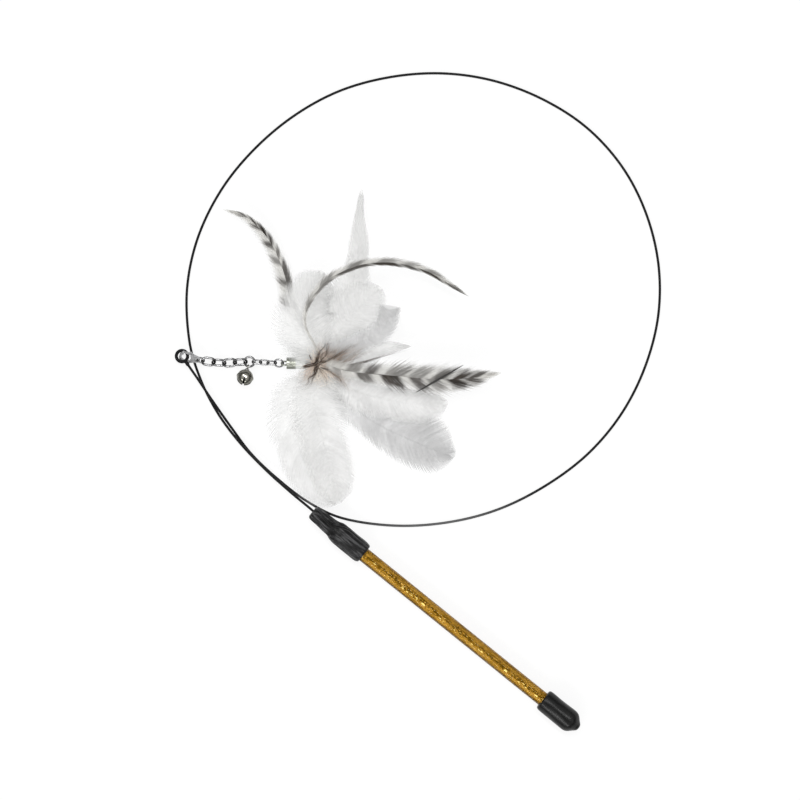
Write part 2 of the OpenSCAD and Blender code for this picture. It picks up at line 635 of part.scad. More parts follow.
module bell_upper_cup() {
    color([0.8, 0.8, 0.8]) at_bell(bell_at, 0) {
        bell_cup(true);
        difference() {
            translate([0, 0, -bell_wall]) cylinder(r = bell_d / 2 + bell_flange, h = bell_wall);
            translate([0, 0, -bell_wall - cut_over])
                cylinder(r = bell_d / 2 - bell_wall, h = bell_wall + 2 * cut_over);
        }
        difference() {
            translate([0, 0, bell_loop_at - bell_at]) rotate([0, 90, 0])
                rotate_extrude() translate([bell_loop_r, 0])
                    circle(d = bell_wire_d, $fn = small_fn);
            sphere(d = bell_d - bell_wall);
        }
    }
}

module bell_lower_cup() {
    color([0.7, 0.7, 0.7]) at_bell(bell_at, 0) difference() {
        bell_cup(false);
        for (turn = [0, 90]) rotate([0, 0, turn]) {
            translate([-0.36 * bell_d, -bell_slot_w / 2, 0])
                cube([0.72 * bell_d, bell_slot_w, bell_d]);
            for (side = [-1, 1]) translate([side * 0.36 * bell_d, 0, 0])
                cylinder(d = 1.7 * bell_slot_w, h = bell_d, $fn = small_fn);
        }
    }
}

// The pellet lies at the lowest place inside the ball
module bell_pellet() {
    color([0.4, 0.4, 0.42]) at_bell(bell_at, 0) rotate([0, bell_climb - 90, 0])
        translate([0, 0, -bell_d / 2 + bell_wall + pellet_d / 2 + link_gap])
            sphere(d = pellet_d);
}

module head_ferrule() {
    eye_centre = (eyelet_od - ring_wire_d) / 2;
    color([0.76, 0.76, 0.78]) {
        at_lure() translate(near_end(10)) rotate([edge_tilt, 0, 0]) translate([eye_centre, 0, 0])
            rotate_extrude() translate([eye_centre, 0]) circle(d = ring_wire_d, $fn = small_fn);
        at_head() rotate([0, 90, 0]) difference() {
            cylinder(d = ferrule_od, h = ferrule_len);
            translate([0, 0, ferrule_len / 2])
                cylinder(d = bundle_d + 2 * fit_gap, h = ferrule_len);
        }
    }
}

module glue_sleeve() {
    color([0.9, 0.92, 0.9]) at_head() translate([ferrule_len, 0, 0]) rotate([0, 90, 0])
        difference() {
            cylinder(d = ferrule_od - 2 * fit_gap, h = sleeve_len - ferrule_len / 2);
            translate([0, 0, -cut_over])
                cylinder(d = bundle_d + 2 * fit_gap, h = sleeve_len + 2 * cut_over);
        }
}

// The thread: one unbroken tube wound round the bundle from end to end
module binding_thread() {
    color([0.1, 0.1, 0.1]) at_head() translate([head_mouth - 0.9 * thread_d, 0, 0]) skin([
        for (p = thread_path) let (out = unit([0, p.y, p.z]))
            [for (b = [0:60:300]) p + thread_d / 2 * (cos(b) * out + sin(b) * [1, 0, 0])]
    ]);
}

// A feather: its quill in the bundle, then a cupped vane along the table's route
module feather(slot, shares, reach, width, free = undef) {
    q = quill_d / 2;
    y = quill_rows[slot][1] * quill_pitch;
    z = quill_rows[slot][0] * quill_pitch * 0.95;
    rows = spline(concat(
        [[0, y, z, q]],
        [
            for (s = shares)
                [
                    s[0] * reach, y + s[1] * reach,
                    z + s[2] * bundle_d
                        + (is_undef(free) ? 0 : max(0, norm([s[0], s[1]]) * reach - free)),
                    max(q / 2, s[3] * width / 2)
                ]
        ]
    ), 2);
    path = concat([[-bundle_len, y, z, q], [-bundle_len / 12, y, z, q]], rows);
    last = len(path) - 1;
    at_head() translate([head_mouth, 0, 0]) skin([
        for (i = [0:last]) let (
            p = [path[i].x, path[i].y, path[i].z],
            ahead = path[min(i + 1, last)],
            behind = path[max(i - 1, 0)],
            along = unit([ahead.x - behind.x, ahead.y - behind.y, 0]),
            side = [-along.y, along.x, 0],
            half = max(q / 3, path[i][3]),
            slim = min(1, q / half),
            rib = q * (1 - 0.4 * i / last),
            web = rib * 0.7 * slim + vane_t / 2 * (1 - slim),
            hang = -cup_share * (half - q * slim),
            up = [0, 0, 1]
        ) [
            p + half * side + hang * up,
            p + half / 2 * side + (hang / 4 + web) * up,
            p + rib * up,
            p - half / 2 * side + (hang / 4 + web) * up,
            p - half * side + hang * up,
            p - half / 2 * side + (hang / 4 - web) * up,
            p - rib * up,
            p + half / 2 * side + (hang / 4 - web) * up
        ]
    ]);
}

module dark_biot() {
    front = barred_front_reach;
    middle = [0.69 * front, -0.087 * front, 2.2 * bundle_d];
    along = [cos(30), sin(30), 0];
    color([0.12, 0.11, 0.1]) at_head() translate([head_mouth, 0, 0])
        skin(tube_rings(
            [for (t = [-0.5:0.25:0.5]) middle + along * t * biot_len], biot_d / 2, 6
        ));
}

// A low burst of barbs over the root of the front feather
module brown_fluff() {
    n = len(fluff_shares);
    base_z = 1.95 * bundle_d;
    valley = 0.4;
    rim = [
        for (k = [0:n - 1]) let (
            a = fluff_shares[k][0],
            next = fluff_shares[(k + 1) % n][0] + (k == n - 1 ? 360 : 0),
            b = (a + next) / 2
        ) each [
            fluff_reach * fluff_shares[k][1] * [cos(a), sin(a), 0] + [0, 0, base_z + fluff_h / 4],
            fluff_reach * valley * [cos(b), sin(b), 0] + [0, 0, base_z + fluff_h / 8]
        ]
    ];
    m = len(rim);
    color([0.5, 0.44, 0.38]) at_head() translate([head_mouth + ferrule_len, 0, 0]) polyhedron(
        points = concat(rim, [[0, 0, base_z + fluff_h], [0, 0, base_z]]),
        faces = [
            for (k = [0:m - 1]) each [[k, m, (k + 1) % m], [(k + 1) % m, m + 1, k]]
        ]
    );
}

module white(shade) {
    color([shade, shade, shade]) children();
}

handle_tube();
glitter_film();
end_cap();
wire_boot();
tube_plug();
wire_tang();
tang_stop();
wand_wire();
wire_eye();
clasp_body();
clasp_lever();
clasp_pin();
clasp_spring();
color("silver") chain_piece(0);  // clasp_ring
color("silver") chain_piece(1);  // chain_link_1
color("silver") chain_piece(2);  // chain_link_2
color("silver") chain_piece(3);  // chain_link_3
color("silver") chain_piece(4);  // chain_link_4
color("silver") chain_piece(5);  // bell_link
color("silver") chain_piece(6);  // small_link_1
color("silver") chain_piece(7);  // small_link_2
color("silver") chain_piece(8);  // small_link_3
bell_ring();
bell_upper_cup();
bell_lower_cup();
bell_pellet();
color("silver") chain_piece(9);  // head_ring
head_ferrule();
glue_sleeve();
binding_thread();
white(0.93) feather(0, low_outer_shares, low_outer_reach, low_outer_w, boot_free);  // plume_low_outer
white(0.91) feather(4, low_inner_shares, low_inner_reach, low_inner_w, boot_free);  // plume_low_inner
white(0.82) feather(1, right_low_shares, right_low_reach, right_low_w);  // plume_right_low
white(0.88) feather(5, right_high_shares, right_high_reach, right_high_w);  // plume_right_high
white(0.9) feather(2, spike_shares, spike_reach, spike_w);  // plume_spike
white(0.95) feather(8, top_left_shares, top_left_reach, top_left_w);  // plume_top_left
white(0.93) feather(7, top_right_shares, top_right_reach, top_right_w);  // plume_top_right
white(0.84) feather(11, square_shares, square_reach, square_w);  // plume_square
white(0.92) feather(6, small_shares, small_reach, small_w);  // plume_small
color([0.45, 0.43, 0.4]) feather(3, barred_left_shares, barred_left_reach, barred_left_w);  // barred_feather_left
color([0.4, 0.38, 0.34]) feather(12, barred_arch_shares, barred_arch_reach, barred_arch_w);  // barred_feather_arch
color([0.42, 0.4, 0.38])  // barred_feather_front
        feather(10, barred_front_shares, barred_front_reach, barred_front_w);
dark_biot();
brown_fluff();
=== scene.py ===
"""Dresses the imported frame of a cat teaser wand: its wire, vinyl, glitter tube, metal lure and feathers.

The frame is in metres. The tables and sizes below are in millimetres and go through MM.
"""

import math

import bpy
import bmesh
import numpy as np
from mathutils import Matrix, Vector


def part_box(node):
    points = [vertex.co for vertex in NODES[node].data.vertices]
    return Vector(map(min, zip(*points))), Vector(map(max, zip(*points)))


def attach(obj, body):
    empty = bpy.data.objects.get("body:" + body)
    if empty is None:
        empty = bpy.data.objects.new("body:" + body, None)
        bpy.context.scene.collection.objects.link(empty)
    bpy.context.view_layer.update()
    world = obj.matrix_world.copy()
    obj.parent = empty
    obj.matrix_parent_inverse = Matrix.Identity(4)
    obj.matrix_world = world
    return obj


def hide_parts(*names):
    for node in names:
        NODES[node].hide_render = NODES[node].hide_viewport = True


bl_info = {
    "name": "Cat teaser wand",
    "version": (1, 0, 0),
    "blender": (4, 5, 0),
    "location": "View3D > Sidebar > Wand",
    "description": "Dresses the packed frame of a cat teaser wand",
    "category": "Add Mesh",
}

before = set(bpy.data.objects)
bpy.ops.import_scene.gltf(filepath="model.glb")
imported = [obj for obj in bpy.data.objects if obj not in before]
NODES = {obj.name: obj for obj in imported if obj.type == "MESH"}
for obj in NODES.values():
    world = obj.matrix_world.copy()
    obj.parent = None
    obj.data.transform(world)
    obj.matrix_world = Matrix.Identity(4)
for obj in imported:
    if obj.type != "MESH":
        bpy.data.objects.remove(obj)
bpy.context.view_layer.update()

MM, TO_MM = 0.001, 1000
UP = np.array([0.0, 0.0, 1.0])

# The photograph's middle and its heading to the right, in plan, in metres
VIEW_MIDDLE, VIEW_RIGHT = (0.004, 0.024), (0.6282, -0.7781)
FLOOR_HALF, FLOOR_Z = 1600.0, -0.1
# Each lamp's place in metres, their power, and how white the camera sees the floor (0 to 1)
LAMPS = (("lamp_left", (-2.0, -0.8, 1.6)), ("lamp_right", (0.69, 0.8, 2.5)))
LAMP_POWER, FLOOR_WHITE = 34.0, 0.85
# How far the turned shapes, the barbs and the webs stay over the floor
TURNED_LIFT, BARB_LIFT, WEB_LIFT = 0.01, 0.4, 0.3

# Handle, from the tip of the boot towards the butt (-Y)
HANDLE_X, HANDLE_Z, TIP_Y = -74.5, 5.8, 22.5
BOOT_LEN, TUBE_SHOWN = 35.2, 127.5
CAP_Y = TIP_Y - BOOT_LEN - TUBE_SHOWN
# The clear wall, a ring of points TUBE_EDGE from its ends, and how far the film lies past its bore
TUBE_BORE, TUBE_WIDTH, TUBE_EDGE, FILM_GAP = 5.0, 8.0, 0.6, 0.4
# Rings of the cap and the boot: distance from the open end or the tip, radius
CAP_HOLE = [[12.0, 0.0], [12.0, 4.05], [0.8, 4.05]]
CAP_OUTLINE = [
    [0.4, 4.1], [0.0, 4.7], [0.1, 5.4], [0.6, 5.95], [1.6, 6.2], [4.0, 6.3], [9.0, 6.25], [14.5, 6.35],
    [17.5, 6.4], [19.2, 6.25], [20.4, 5.85], [21.5, 5.15], [22.5, 4.2], [23.6, 3.1], [24.5, 2.3], [25.1, 1.4],
    [25.3, 0.0],
]
BOOT_TIP, BOOT_HOLE = [0.8, 0.0], [24.0, 4.05]
BOOT_OUTLINE = [
    [0.25, 1.0], [-0.3, 2.2], [-0.3, 3.1], [0.4, 3.85], [1.8, 4.2], [5.0, 4.4], [9.0, 4.65], [12.5, 4.8],
    [14.5, 5.1], [16.5, 5.85], [18.6, 6.2], [21.0, 6.25], [29.0, 6.2], [33.0, 6.15], [34.9, 5.95],
    [36.0, 5.4], [36.3, 4.8], [35.6, 4.1],
]

# The spring wire's route, from the boot round the ring to the eye's neck, and the spot where a grey painted
# highlight lies on it
WIRE_D = 1.4
SHEEN_SPOT = (-35.0, -33.0, 0.8)
WIRE_ROUTE = [
    [-73.4, 22.3, 5.8], [-73.3, 26, 5.75], [-73.1, 40, 5.2], [-72.1, 58, 4.1],
    [-69.5, 78, 2.7], [-64.5, 97.5, 1.4], [-56, 116.5, 0.8], [-43.5, 134.5, 0.8],
    [-22, 153.5, 0.8], [3.5, 166.5, 0.8], [32, 173, 0.8], [60.5, 173, 0.8],
    [89, 167.5, 0.8], [115.5, 156.5, 0.8], [139, 139.5, 0.8], [158.5, 118.5, 0.8],
    [173, 94, 0.8], [182, 66.5, 0.8], [185, 38, 0.8], [180.5, 9.5, 0.8],
    [169, -16.5, 0.8], [151.5, -39.5, 0.8], [129, -57.5, 0.8], [102.5, -69.5, 0.8],
    [74.5, -75.5, 0.8], [46, -75, 0.8], [18, -68, 0.8], [-8.5, -56, 0.8],
    [-31.5, -39, 0.8], [-51.3, -17.5, 0.8], [-66.3, 7.5, 0.8], [-71.4, 28.5, 0.8],
    [-72, 50, 0.8], [-70.4, 69, 0.8], [-66.2, 86, 1.2], [-60.9, 104.5, 2.4],
    [-57, 117, 3.7], [-54.7, 124.7, 4.5], [-54.2, 126.4, 4.5],
]

# The feather head: where the bound quills open out, and its heading in plan
MOUTH = np.array([-10.0616, 73.5705, 3.9151])
HEAD_TURN = math.radians(-51)
BUNDLE_D, BUNDLE_LEN, QUILL_D = 5.0, 12.4, 0.8
QUILL_PITCH = BUNDLE_D / 5.2
QUILL_ROWS = [
    (-1, -1.5), (-1, -0.5), (-1, 0.5), (-1, 1.5), (0, -2), (0, -1), (0, 0), (0, 1),
    (0, 2), (1, -1.5), (1, -0.5), (1, 0.5), (1, 1.5),
]

# Feather routes: x, y, height and width as shares of reach, bundle diameter and half width
LOW_OUTER = [
    [0.005, -0.05, 0.1, 0.05], [-0.02, -0.13, 0.3, 0.3], [-0.1, -0.25, 0.6, 0.8],
    [-0.125, -0.41, 0.75, 0.95], [-0.09, -0.59, 0.8, 1], [-0.01, -0.75, 0.9, 1],
    [0.075, -0.86, 1.1, 0.8], [0.13, -0.92, 1.3, 0.5], [0.16, -0.95, 1.4, 0.05],
]
LOW_INNER = [
    [0.03, -0.05, 0.1, 0.05], [0.02, -0.13, 0.6, 0.3], [0, -0.25, 1.1, 0.7],
    [0.04, -0.41, 1.35, 0.95], [0.085, -0.59, 1.4, 1], [0.125, -0.74, 1.5, 0.95],
    [0.155, -0.87, 1.65, 0.7], [0.17, -0.94, 1.75, 0.1],
]
RIGHT_LOW = [
    [0.05, -0.035, -0.18, 0.05], [0.11, -0.13, -0.08, 0.15], [0.2, -0.225, 0, 0.45],
    [0.34, -0.325, 0.05, 0.75], [0.5, -0.405, 0.05, 0.97], [0.62, -0.455, 0.05, 1],
    [0.7, -0.485, 0.1, 0.85], [0.76, -0.5, 0.15, 0.3], [0.775, -0.505, 0.15, 0.05],
]
RIGHT_HIGH = [
    [0.05, -0.03, 0.05, 0.06], [0.17, -0.12, 0.15, 0.3], [0.34, -0.2, 0.3, 0.8],
    [0.56, -0.25, 0.35, 1], [0.74, -0.27, 0.4, 1], [0.86, -0.265, 0.45, 0.7],
    [0.92, -0.26, 0.45, 0.1],
]
SPIKE = [
    [0.05, 0.045, -0.2, 0.05], [0.09, 0.15, -0.15, 0.4], [0.155, 0.28, -0.05, 0.95],
    [0.21, 0.42, -0.05, 1], [0.24, 0.56, 0, 0.6], [0.25, 0.66, 0.05, 0.54],
    [0.25, 0.75, 0.1, 0.38], [0.255, 0.84, 0.2, 0.22], [0.262, 0.91, 0.35, 0.14],
    [0.266, 0.95, 0.4, 0.03],
]
TOP_LEFT = [
    [-0.015, 0.08, 0.6, 0.05], [-0.06, 0.18, 0.6, 0.4], [-0.12, 0.34, 0.75, 0.85],
    [-0.13, 0.54, 0.65, 1], [-0.05, 0.74, 0.7, 0.95], [0.06, 0.9, 0.8, 0.6],
    [0.1, 0.97, 0.85, 0.1],
]
TOP_RIGHT = [
    [0.05, 0.045, 0.05, 0.05], [0.12, 0.15, 0.3, 0.3], [0.26, 0.32, 0.3, 0.8],
    [0.41, 0.49, 0.3, 1], [0.55, 0.63, 0.3, 0.85], [0.64, 0.71, 0.3, 0.5],
    [0.67, 0.74, 0.3, 0.1],
]
SQUARE = [
    [0.06, 0.02, 0.2, 0.1], [0.26, 0.1, 0.8, 0.15], [0.5, 0.21, 1.1, 0.4],
    [0.7, 0.3, 1.2, 0.75], [0.8, 0.42, 1.25, 0.95], [0.83, 0.56, 1.3, 1],
    [0.84, 0.62, 1.3, 0.9],
]
SMALL = [
    [0.06, 0, 0.1, 0.1], [0.3, 0.06, 0.5, 0.5], [0.58, 0.12, 0.75, 1],
    [0.84, 0.17, 0.8, 0.8], [1, 0.18, 0.8, 0.3], [1.07, 0.185, 0.8, 0.05],
]
BARRED_LEFT = [
    [0.02, 0.03, 0.08, 0.1], [0.01, 0.08, 0.1, 0.1], [-0.02, 0.15, 0.05, 0.12],
    [-0.085, 0.24, 0.1, 0.5], [-0.13, 0.335, 0, 0.98], [-0.145, 0.41, 0, 1],
    [-0.17, 0.505, 0.1, 0.95], [-0.21, 0.6, 0.25, 0.88], [-0.25, 0.67, 0.35, 0.8],
    [-0.315, 0.745, 0.5, 0.6], [-0.39, 0.8, 0.6, 0.4], [-0.495, 0.83, 0.7, 0.06],
]
BARRED_ARCH = [
    [0.025, 0.03, 0.3, 0.15], [0, 0.1, 1, 0.15], [-0.04, 0.18, 1.6, 0.3],
    [-0.04, 0.27, 1.9, 0.6], [0.01, 0.365, 2, 0.85], [0.09, 0.445, 2, 1],
    [0.22, 0.51, 2, 1], [0.355, 0.535, 2, 1], [0.49, 0.525, 1.9, 1],
    [0.625, 0.485, 1.8, 0.95], [0.745, 0.415, 1.7, 0.7], [0.85, 0.35, 1.6, 0.08],
]
BARRED_FRONT = [
    [0.03, 0.005, 0.6, 0.05], [0.1, -0.01, 1.5, 0.08], [0.175, -0.035, 1.85, 0.3],
    [0.33, -0.055, 1.9, 0.5], [0.46, -0.065, 1.9, 0.85], [0.6, -0.08, 1.85, 1],
    [0.75, -0.085, 1.8, 0.96], [0.89, -0.075, 1.75, 0.62], [0.97, -0.06, 1.75, 0.3],
    [1.03, -0.05, 1.75, 0.03],
]
# Each plume's name, quill row, route, reach, full width, its down (extra reach to the left and right
# of the quill near the root, and how far up the quill it goes), and how the two sides share its width
PLUMES = [
    ("low_outer", 0, LOW_OUTER, 80, 32, (8, 10, 0.4), (1.0, 0.84)),
    ("low_inner", 4, LOW_INNER, 80, 27, (14, 9, 0.4), (1.0, 1.0)),
    ("right_low", 1, RIGHT_LOW, 100, 29, (8, 7, 0.35), (1.2, 1.0)),
    ("right_high", 5, RIGHT_HIGH, 80, 17, (8, 7, 0.5), (1.0, 1.35)),
    ("spike", 2, SPIKE, 100, 22, (14, 10, 0.45), (1.0, 1.0)),
    ("top_left", 8, TOP_LEFT, 50, 30, (9, 12, 0.45), (0.95, 1.0)),
    ("top_right", 7, TOP_RIGHT, 55, 28, (12, 13, 0.7), (1.0, 1.0)),
    ("square", 11, SQUARE, 50, 13, (9, 6, 0.7), (1.0, 1.0)),
    ("small", 6, SMALL, 50, 10, (5, 7, 0.6), (1.0, 1.0)),
]
# The plumes painted a little greyer than the others; on right_low, which lies lowest under the rest, the grey
# is painted shade
GREYER = ("right_low", "square")

# A hackle's bars on the left and right of its quill: start, end (shares of its length), darkness
LEFT_BARS = (
    [(0.31, 0.35, 0.8), (0.43, 0.46, 0.7), (0.55, 0.585, 0.6), (0.645, 0.68, 0.85), (0.77, 0.795, 0.9),
     (0.87, 0.9, 0.5)],
    [(0.3, 0.34, 0.95), (0.4, 0.54, 0.85), (0.59, 0.62, 0.7), (0.66, 0.69, 0.95), (0.71, 0.77, 1),
     (0.79, 0.83, 0.9), (0.865, 0.895, 0.8)],
)
ARCH_BARS = (
    [(0.24, 0.28, 0.4), (0.34, 0.4, 0.5), (0.47, 0.52, 0.6), (0.6, 0.64, 0.5), (0.7, 0.73, 0.4),
     (0.79, 0.83, 0.5), (0.9, 0.95, 0.6)],
    [(0.225, 0.275, 0.6), (0.3, 0.39, 0.6), (0.42, 0.55, 0.9), (0.575, 0.66, 1), (0.69, 0.73, 0.9),
     (0.765, 0.85, 1), (0.88, 1.0, 0.9)],
)
FRONT_BARS = (
    [(0.2, 0.25, 0.6), (0.29, 0.34, 0.85), (0.4, 0.49, 0.6), (0.52, 0.59, 0.5), (0.64, 0.7, 0.75),
     (0.745, 0.8, 1), (0.825, 0.875, 0.9)],
    [(0.13, 0.17, 0.4), (0.25, 0.31, 0.8), (0.375, 0.46, 1), (0.52, 0.58, 0.85), (0.61, 0.66, 0.6),
     (0.71, 0.775, 1), (0.8, 0.85, 0.9)],
)
# Each hackle: as a plume, then its barbs' lean, its bars, how far out they reach, and how clear its
# pale barbs are
HACKLES = [
    ("left", 3, BARRED_LEFT, 100, 9.6, (1, 1, 0.3), (1.35, 0.8), 2.0, LEFT_BARS, 0.6, 0.4),
    ("arch", 12, BARRED_ARCH, 100, 5.6, (0.5, 0.5, 0.3), (1.15, 0.6), 2.6, ARCH_BARS, 0.7, 0.4),
    ("front", 10, BARRED_FRONT, 100, 17.2, (5, 4, 0.45), (1, 1), 2.0, FRONT_BARS, 0.72, 0.25),
]
# The dark biot over the front hackle: its middle from the head's mouth, its length and its heading
BIOT_MIDDLE, BIOT_LEN, BIOT_TURN = (69.0, -8.7, 11.0), 30, math.radians(30)
# What a point of a quill or a web carries where a barb's point has the barb's own number, 0 to 1
QUILL_OWN, WEB_OWN = 2.0, 3.0
# How far a feather's edge droops for each millimetre out, how far its barbs stand over the quill's
# middle and its web lies under it, and the points along and across the web
DROOP, BARB_RISE, WEB_SINK, WEB_ROWS, WEB_COLUMNS = 0.08, 0.12, 0.13, 150, 16
# Where the random draws of each kind of piece start
SEEDS = {"plume_web": 20, "plume": 40, "hackle": 80, "hackle_web": 90, "down": 300, "white_down": 360}

# How high bundles of down start: those darker than DARK_SHADE lie over the pale ones
DARK_SHADE, DARK_FLOOR, PALE_FLOOR, WHITE_FLOOR = 0.15, 10.8, 9.6, 6.9
# Bundles of down: hairs, shade from 0 (dark) to 1 (cream), how far they spread, width, and the
# way they run from the head's mouth, x and y
DOWN = [
    (16, 0.0, 0.7, 0.22, [
        [-5.3, -1.7], [-2, -0.8], [1.1, 0.2], [2.8, 3.2], [3.6, 6.2], [6.4, 9], [6.9, 12], [9.4, 15],
    ]),
    (14, 0.04, 0.8, 0.22, [
        [-5, -2.3], [0.5, -1], [4.4, 0.7], [4.6, 4.5], [8.2, 7.5], [7.6, 11], [9.4, 13.5],
    ]),
    (14, 0.0, 0.6, 0.22, [[3, -1], [0.4, -3.4], [0.6, -6], [-2.8, -8.2], [-3, -11], [-9.4, -14.3]]),
    (9, 0.05, 0.7, 0.2, [[2, -2], [1.5, -5], [-0.5, -8.5], [-2, -12], [-7, -17]]),
    (8, 0.0, 0.3, 0.24, [[-2.4, 4.4], [-1.2, 2], [0.2, 0.2]]),
    (12, 0.02, 0.8, 0.2, [[0.5, -1], [2.5, -2.8], [0.2, -5], [1.5, -8]]),
    (14, 0.1, 1.2, 0.2, [[1, 0], [2, 3], [3, 7], [3.5, 11]]),
    (14, 0.1, 1.4, 0.2, [[3, 1], [1, -3], [2, -7], [4, -11]]),
    (16, 0.05, 0.8, 0.22, [[10, -1.5], [18.4, -1.6], [30, 1.1], [38, 3.4]]),
    (14, 0.04, 0.5, 0.22, [[14, -1.5], [25.3, 0], [39.3, 4], [52.6, 7.5]]),
    (14, 0.06, 0.6, 0.2, [[12, -3], [20, -3.3], [27, -3.6], [33, -4.4], [38, -6.4]]),
    (16, 0.12, 1.6, 0.2, [[5, 0], [12, 3.5], [20, 8], [28, 13]]),
    (14, 0.08, 1.6, 0.2, [[4, 1], [7, 5], [8, 10], [11, 15]]),
    (16, 0.12, 1.6, 0.2, [[5, -2.5], [11.5, -5.3], [16, -11], [20.7, -16.8]]),
    (10, 0.12, 1.4, 0.18, [[3, -3], [6.9, -7.6], [8.5, -12], [9, -15.5]]),
    (40, 0.3, 2.6, 0.2, [[4, 0], [11.5, 1.7], [18.4, 6.3], [26.4, 11]]),
    (34, 0.24, 2.0, 0.2, [[6, -0.5], [16, 0], [24, 5], [32, 11]]),
    (40, 0.32, 2.8, 0.2, [[3, 0], [8, 3], [13, 7], [17, 12]]),
    (26, 0.3, 2.0, 0.18, [[5, -2.5], [12, -6], [17, -11], [22, -16]]),
    (20, 0.36, 2.0, 0.18, [[8, -3], [14, -6], [20, -9], [25, -13]]),
    (80, 0.78, 5.0, 0.24, [[3, -2], [4, -5], [3, -9], [2, -14]]),
    (80, 0.82, 3.8, 0.24, [[2, 1], [7, 1.5], [12, 0.5], [17, -0.5]]),
    (60, 0.66, 4.2, 0.22, [[2, 0], [4, 4], [4, 9], [3, 13]]),
    (70, 0.74, 4.2, 0.22, [[4, -1], [9, -4], [14, -6], [20, -9]]),
    (50, 0.55, 3.4, 0.22, [[1, 0], [-2, -4], [-5, -8], [-9, -12]]),
]
# Bundles of white down that stand over the ferrule and fill in between the plumes
WHITE_DOWN = [
    (90, 0.5, 3.0, 0.24, [[1, 2.5], [-5, 5.5], [-12, 8.5], [-20, 11]]),
    (90, 0.5, 2.6, 0.24, [[1, 1.5], [-5, 3.5], [-12, 4.6], [-20, 5]]),
    (80, 0.5, 2.4, 0.24, [[0, 0.5], [-4, 1.6], [-10, 2.2], [-17, 1.6]]),
    (70, 0.5, 3.0, 0.24, [[0, -1.5], [-4, -4.5], [-8, -7], [-13, -9]]),
    (60, 0.5, 3.6, 0.22, [[2, -3], [8, -9], [14, -15], [18, -21]]),
    (60, 0.5, 4.2, 0.22, [[1, 3], [3, 10], [4, 17], [4, 24]]),
]

# ---------------------------------------------------------------- shapes worked out with numpy


def smooth(rows, per):
    """Rows of a smooth curve through every row of a table, per rows to a stretch.

    Between rows b and c, with a before and d after, and t from 0 to 1:
    b + t/2 ((c - a) + t ((2a - 5b + 4c - d) + t (3(b - c) + d - a))). The end rows count twice.
    """
    rows = np.asarray(rows, float)
    padded = np.vstack([rows[:1], rows, rows[-1:]])
    a, b, c, d = (padded[k:len(padded) - 3 + k, None, :] for k in range(4))
    t = (np.arange(per) / per)[None, :, None]
    curve = b + 0.5 * t * ((c - a) + t * ((2 * a - 5 * b + 4 * c - d) + t * (3 * (b - c) + d - a)))
    return np.vstack([curve.reshape(-1, rows.shape[1]), rows[-1:]])


def lengths(path):
    """How far along a path each of its points lies: running sums of |p[i+1] - p[i]|."""
    return np.concatenate([[0.0], np.cumsum(np.linalg.norm(np.diff(path, axis=0), axis=1))])


def unit(vectors):
    """Each vector divided by its length."""
    return vectors / np.maximum(np.linalg.norm(vectors, axis=-1, keepdims=True), 1e-9)


def at(path, run, where):
    """Points of a path at given distances along it, by straight stretches between its rows."""
    return np.stack([np.interp(where, run, path[:, k]) for k in range(path.shape[1])], axis=-1)


def angles(count):
    """A row of angles, evenly round a ring."""
    return np.linspace(0, 2 * np.pi, count, endpoint=False)[None, :]


def from_head(points):
    """Row coordinates of points given from the head's mouth: turned by HEAD_TURN, then moved."""
    c, s = math.cos(HEAD_TURN), math.sin(HEAD_TURN)
    x, y, z = points[..., 0], points[..., 1], points[..., 2]
    return np.stack([c * x - s * y, s * x + c * y, z], axis=-1) + MOUTH


def grid_quads(rows, columns, round_rows=False):
    """Faces of a grid of points, row after row; round_rows joins each row's last point to its first."""
    i = np.arange(rows - 1)[:, None] * columns
    j = np.arange(columns if round_rows else columns - 1)[None, :]
    k = (j + 1) % columns
    return np.stack([i + j, i + k, i + columns + k, i + columns + j], -1).reshape(-1, 4)


def tube(path, radius, sides):
    """A round tube with closed ends: C(i) + r(i) (cos a side(i) + sin a top(i)).

    side is the path's heading crossed with up, and top is side crossed with the heading. A ring
    of radius nothing at either end closes it.
    """
    heading = unit(np.gradient(path, axis=0))
    side = unit(np.cross(heading, UP))
    top = np.cross(side, heading)
    radius = np.concatenate([[0], radius, [0]])[:, None, None]
    path, side, top = (np.vstack([v[:1], v, v[-1:]])[:, None] for v in (path, side, top))
    a = angles(sides)[..., None]
    points = path + radius * (np.cos(a) * side + np.sin(a) * top)
    return points.reshape(-1, 3), grid_quads(len(path), sides, True)


def turned(start_y, along, radius, around=96):
    """A shape turned about the handle's axis: (x0 + r cos a, y0 - s, z0 + r sin a), kept over the floor.

    along is s for each ring; radius is r, one for each ring or one for each point of each ring.
    """
    a = angles(around)
    r = np.broadcast_to(radius if np.ndim(radius) == 2 else np.asarray(radius)[:, None], (len(along), around))
    s = np.broadcast_to(np.asarray(along)[:, None], r.shape)
    z = np.maximum(HANDLE_Z + r * np.sin(a), TURNED_LIFT)
    points = np.stack([HANDLE_X + r * np.cos(a), start_y - s, z], -1)
    return points.reshape(-1, 3), grid_quads(len(along), around, True)


def ribbons(centre, width, tilt):
    """Thin flat strips along rows of points: C(k, t) +- w(k, t)/2 (across cos tilt + up sin tilt).

    across is each strip's own heading crossed with up, so that strips lie like louvres.
    """
    heading = unit(np.gradient(centre, axis=1))
    across = unit(np.cross(heading, UP))
    half = (across * np.cos(tilt)[..., None] + UP * np.sin(tilt)[..., None]) * width[..., None] / 2
    count, steps = centre.shape[:2]
    points = np.stack([centre + half, centre - half], axis=2).reshape(-1, 3)
    first = (np.arange(count) * steps * 2)[:, None] + (np.arange(steps - 1) * 2)[None, :]
    return points, np.stack([first, first + 1, first + 3, first + 2], axis=-1).reshape(-1, 4)


def marked(root, out, own, station):
    """Each point's marks: where its barb leaves the quill, how far out it is, its own number, its station."""
    return np.stack(np.broadcast_arrays(root, out, own, station), -1).reshape(-1, 4)


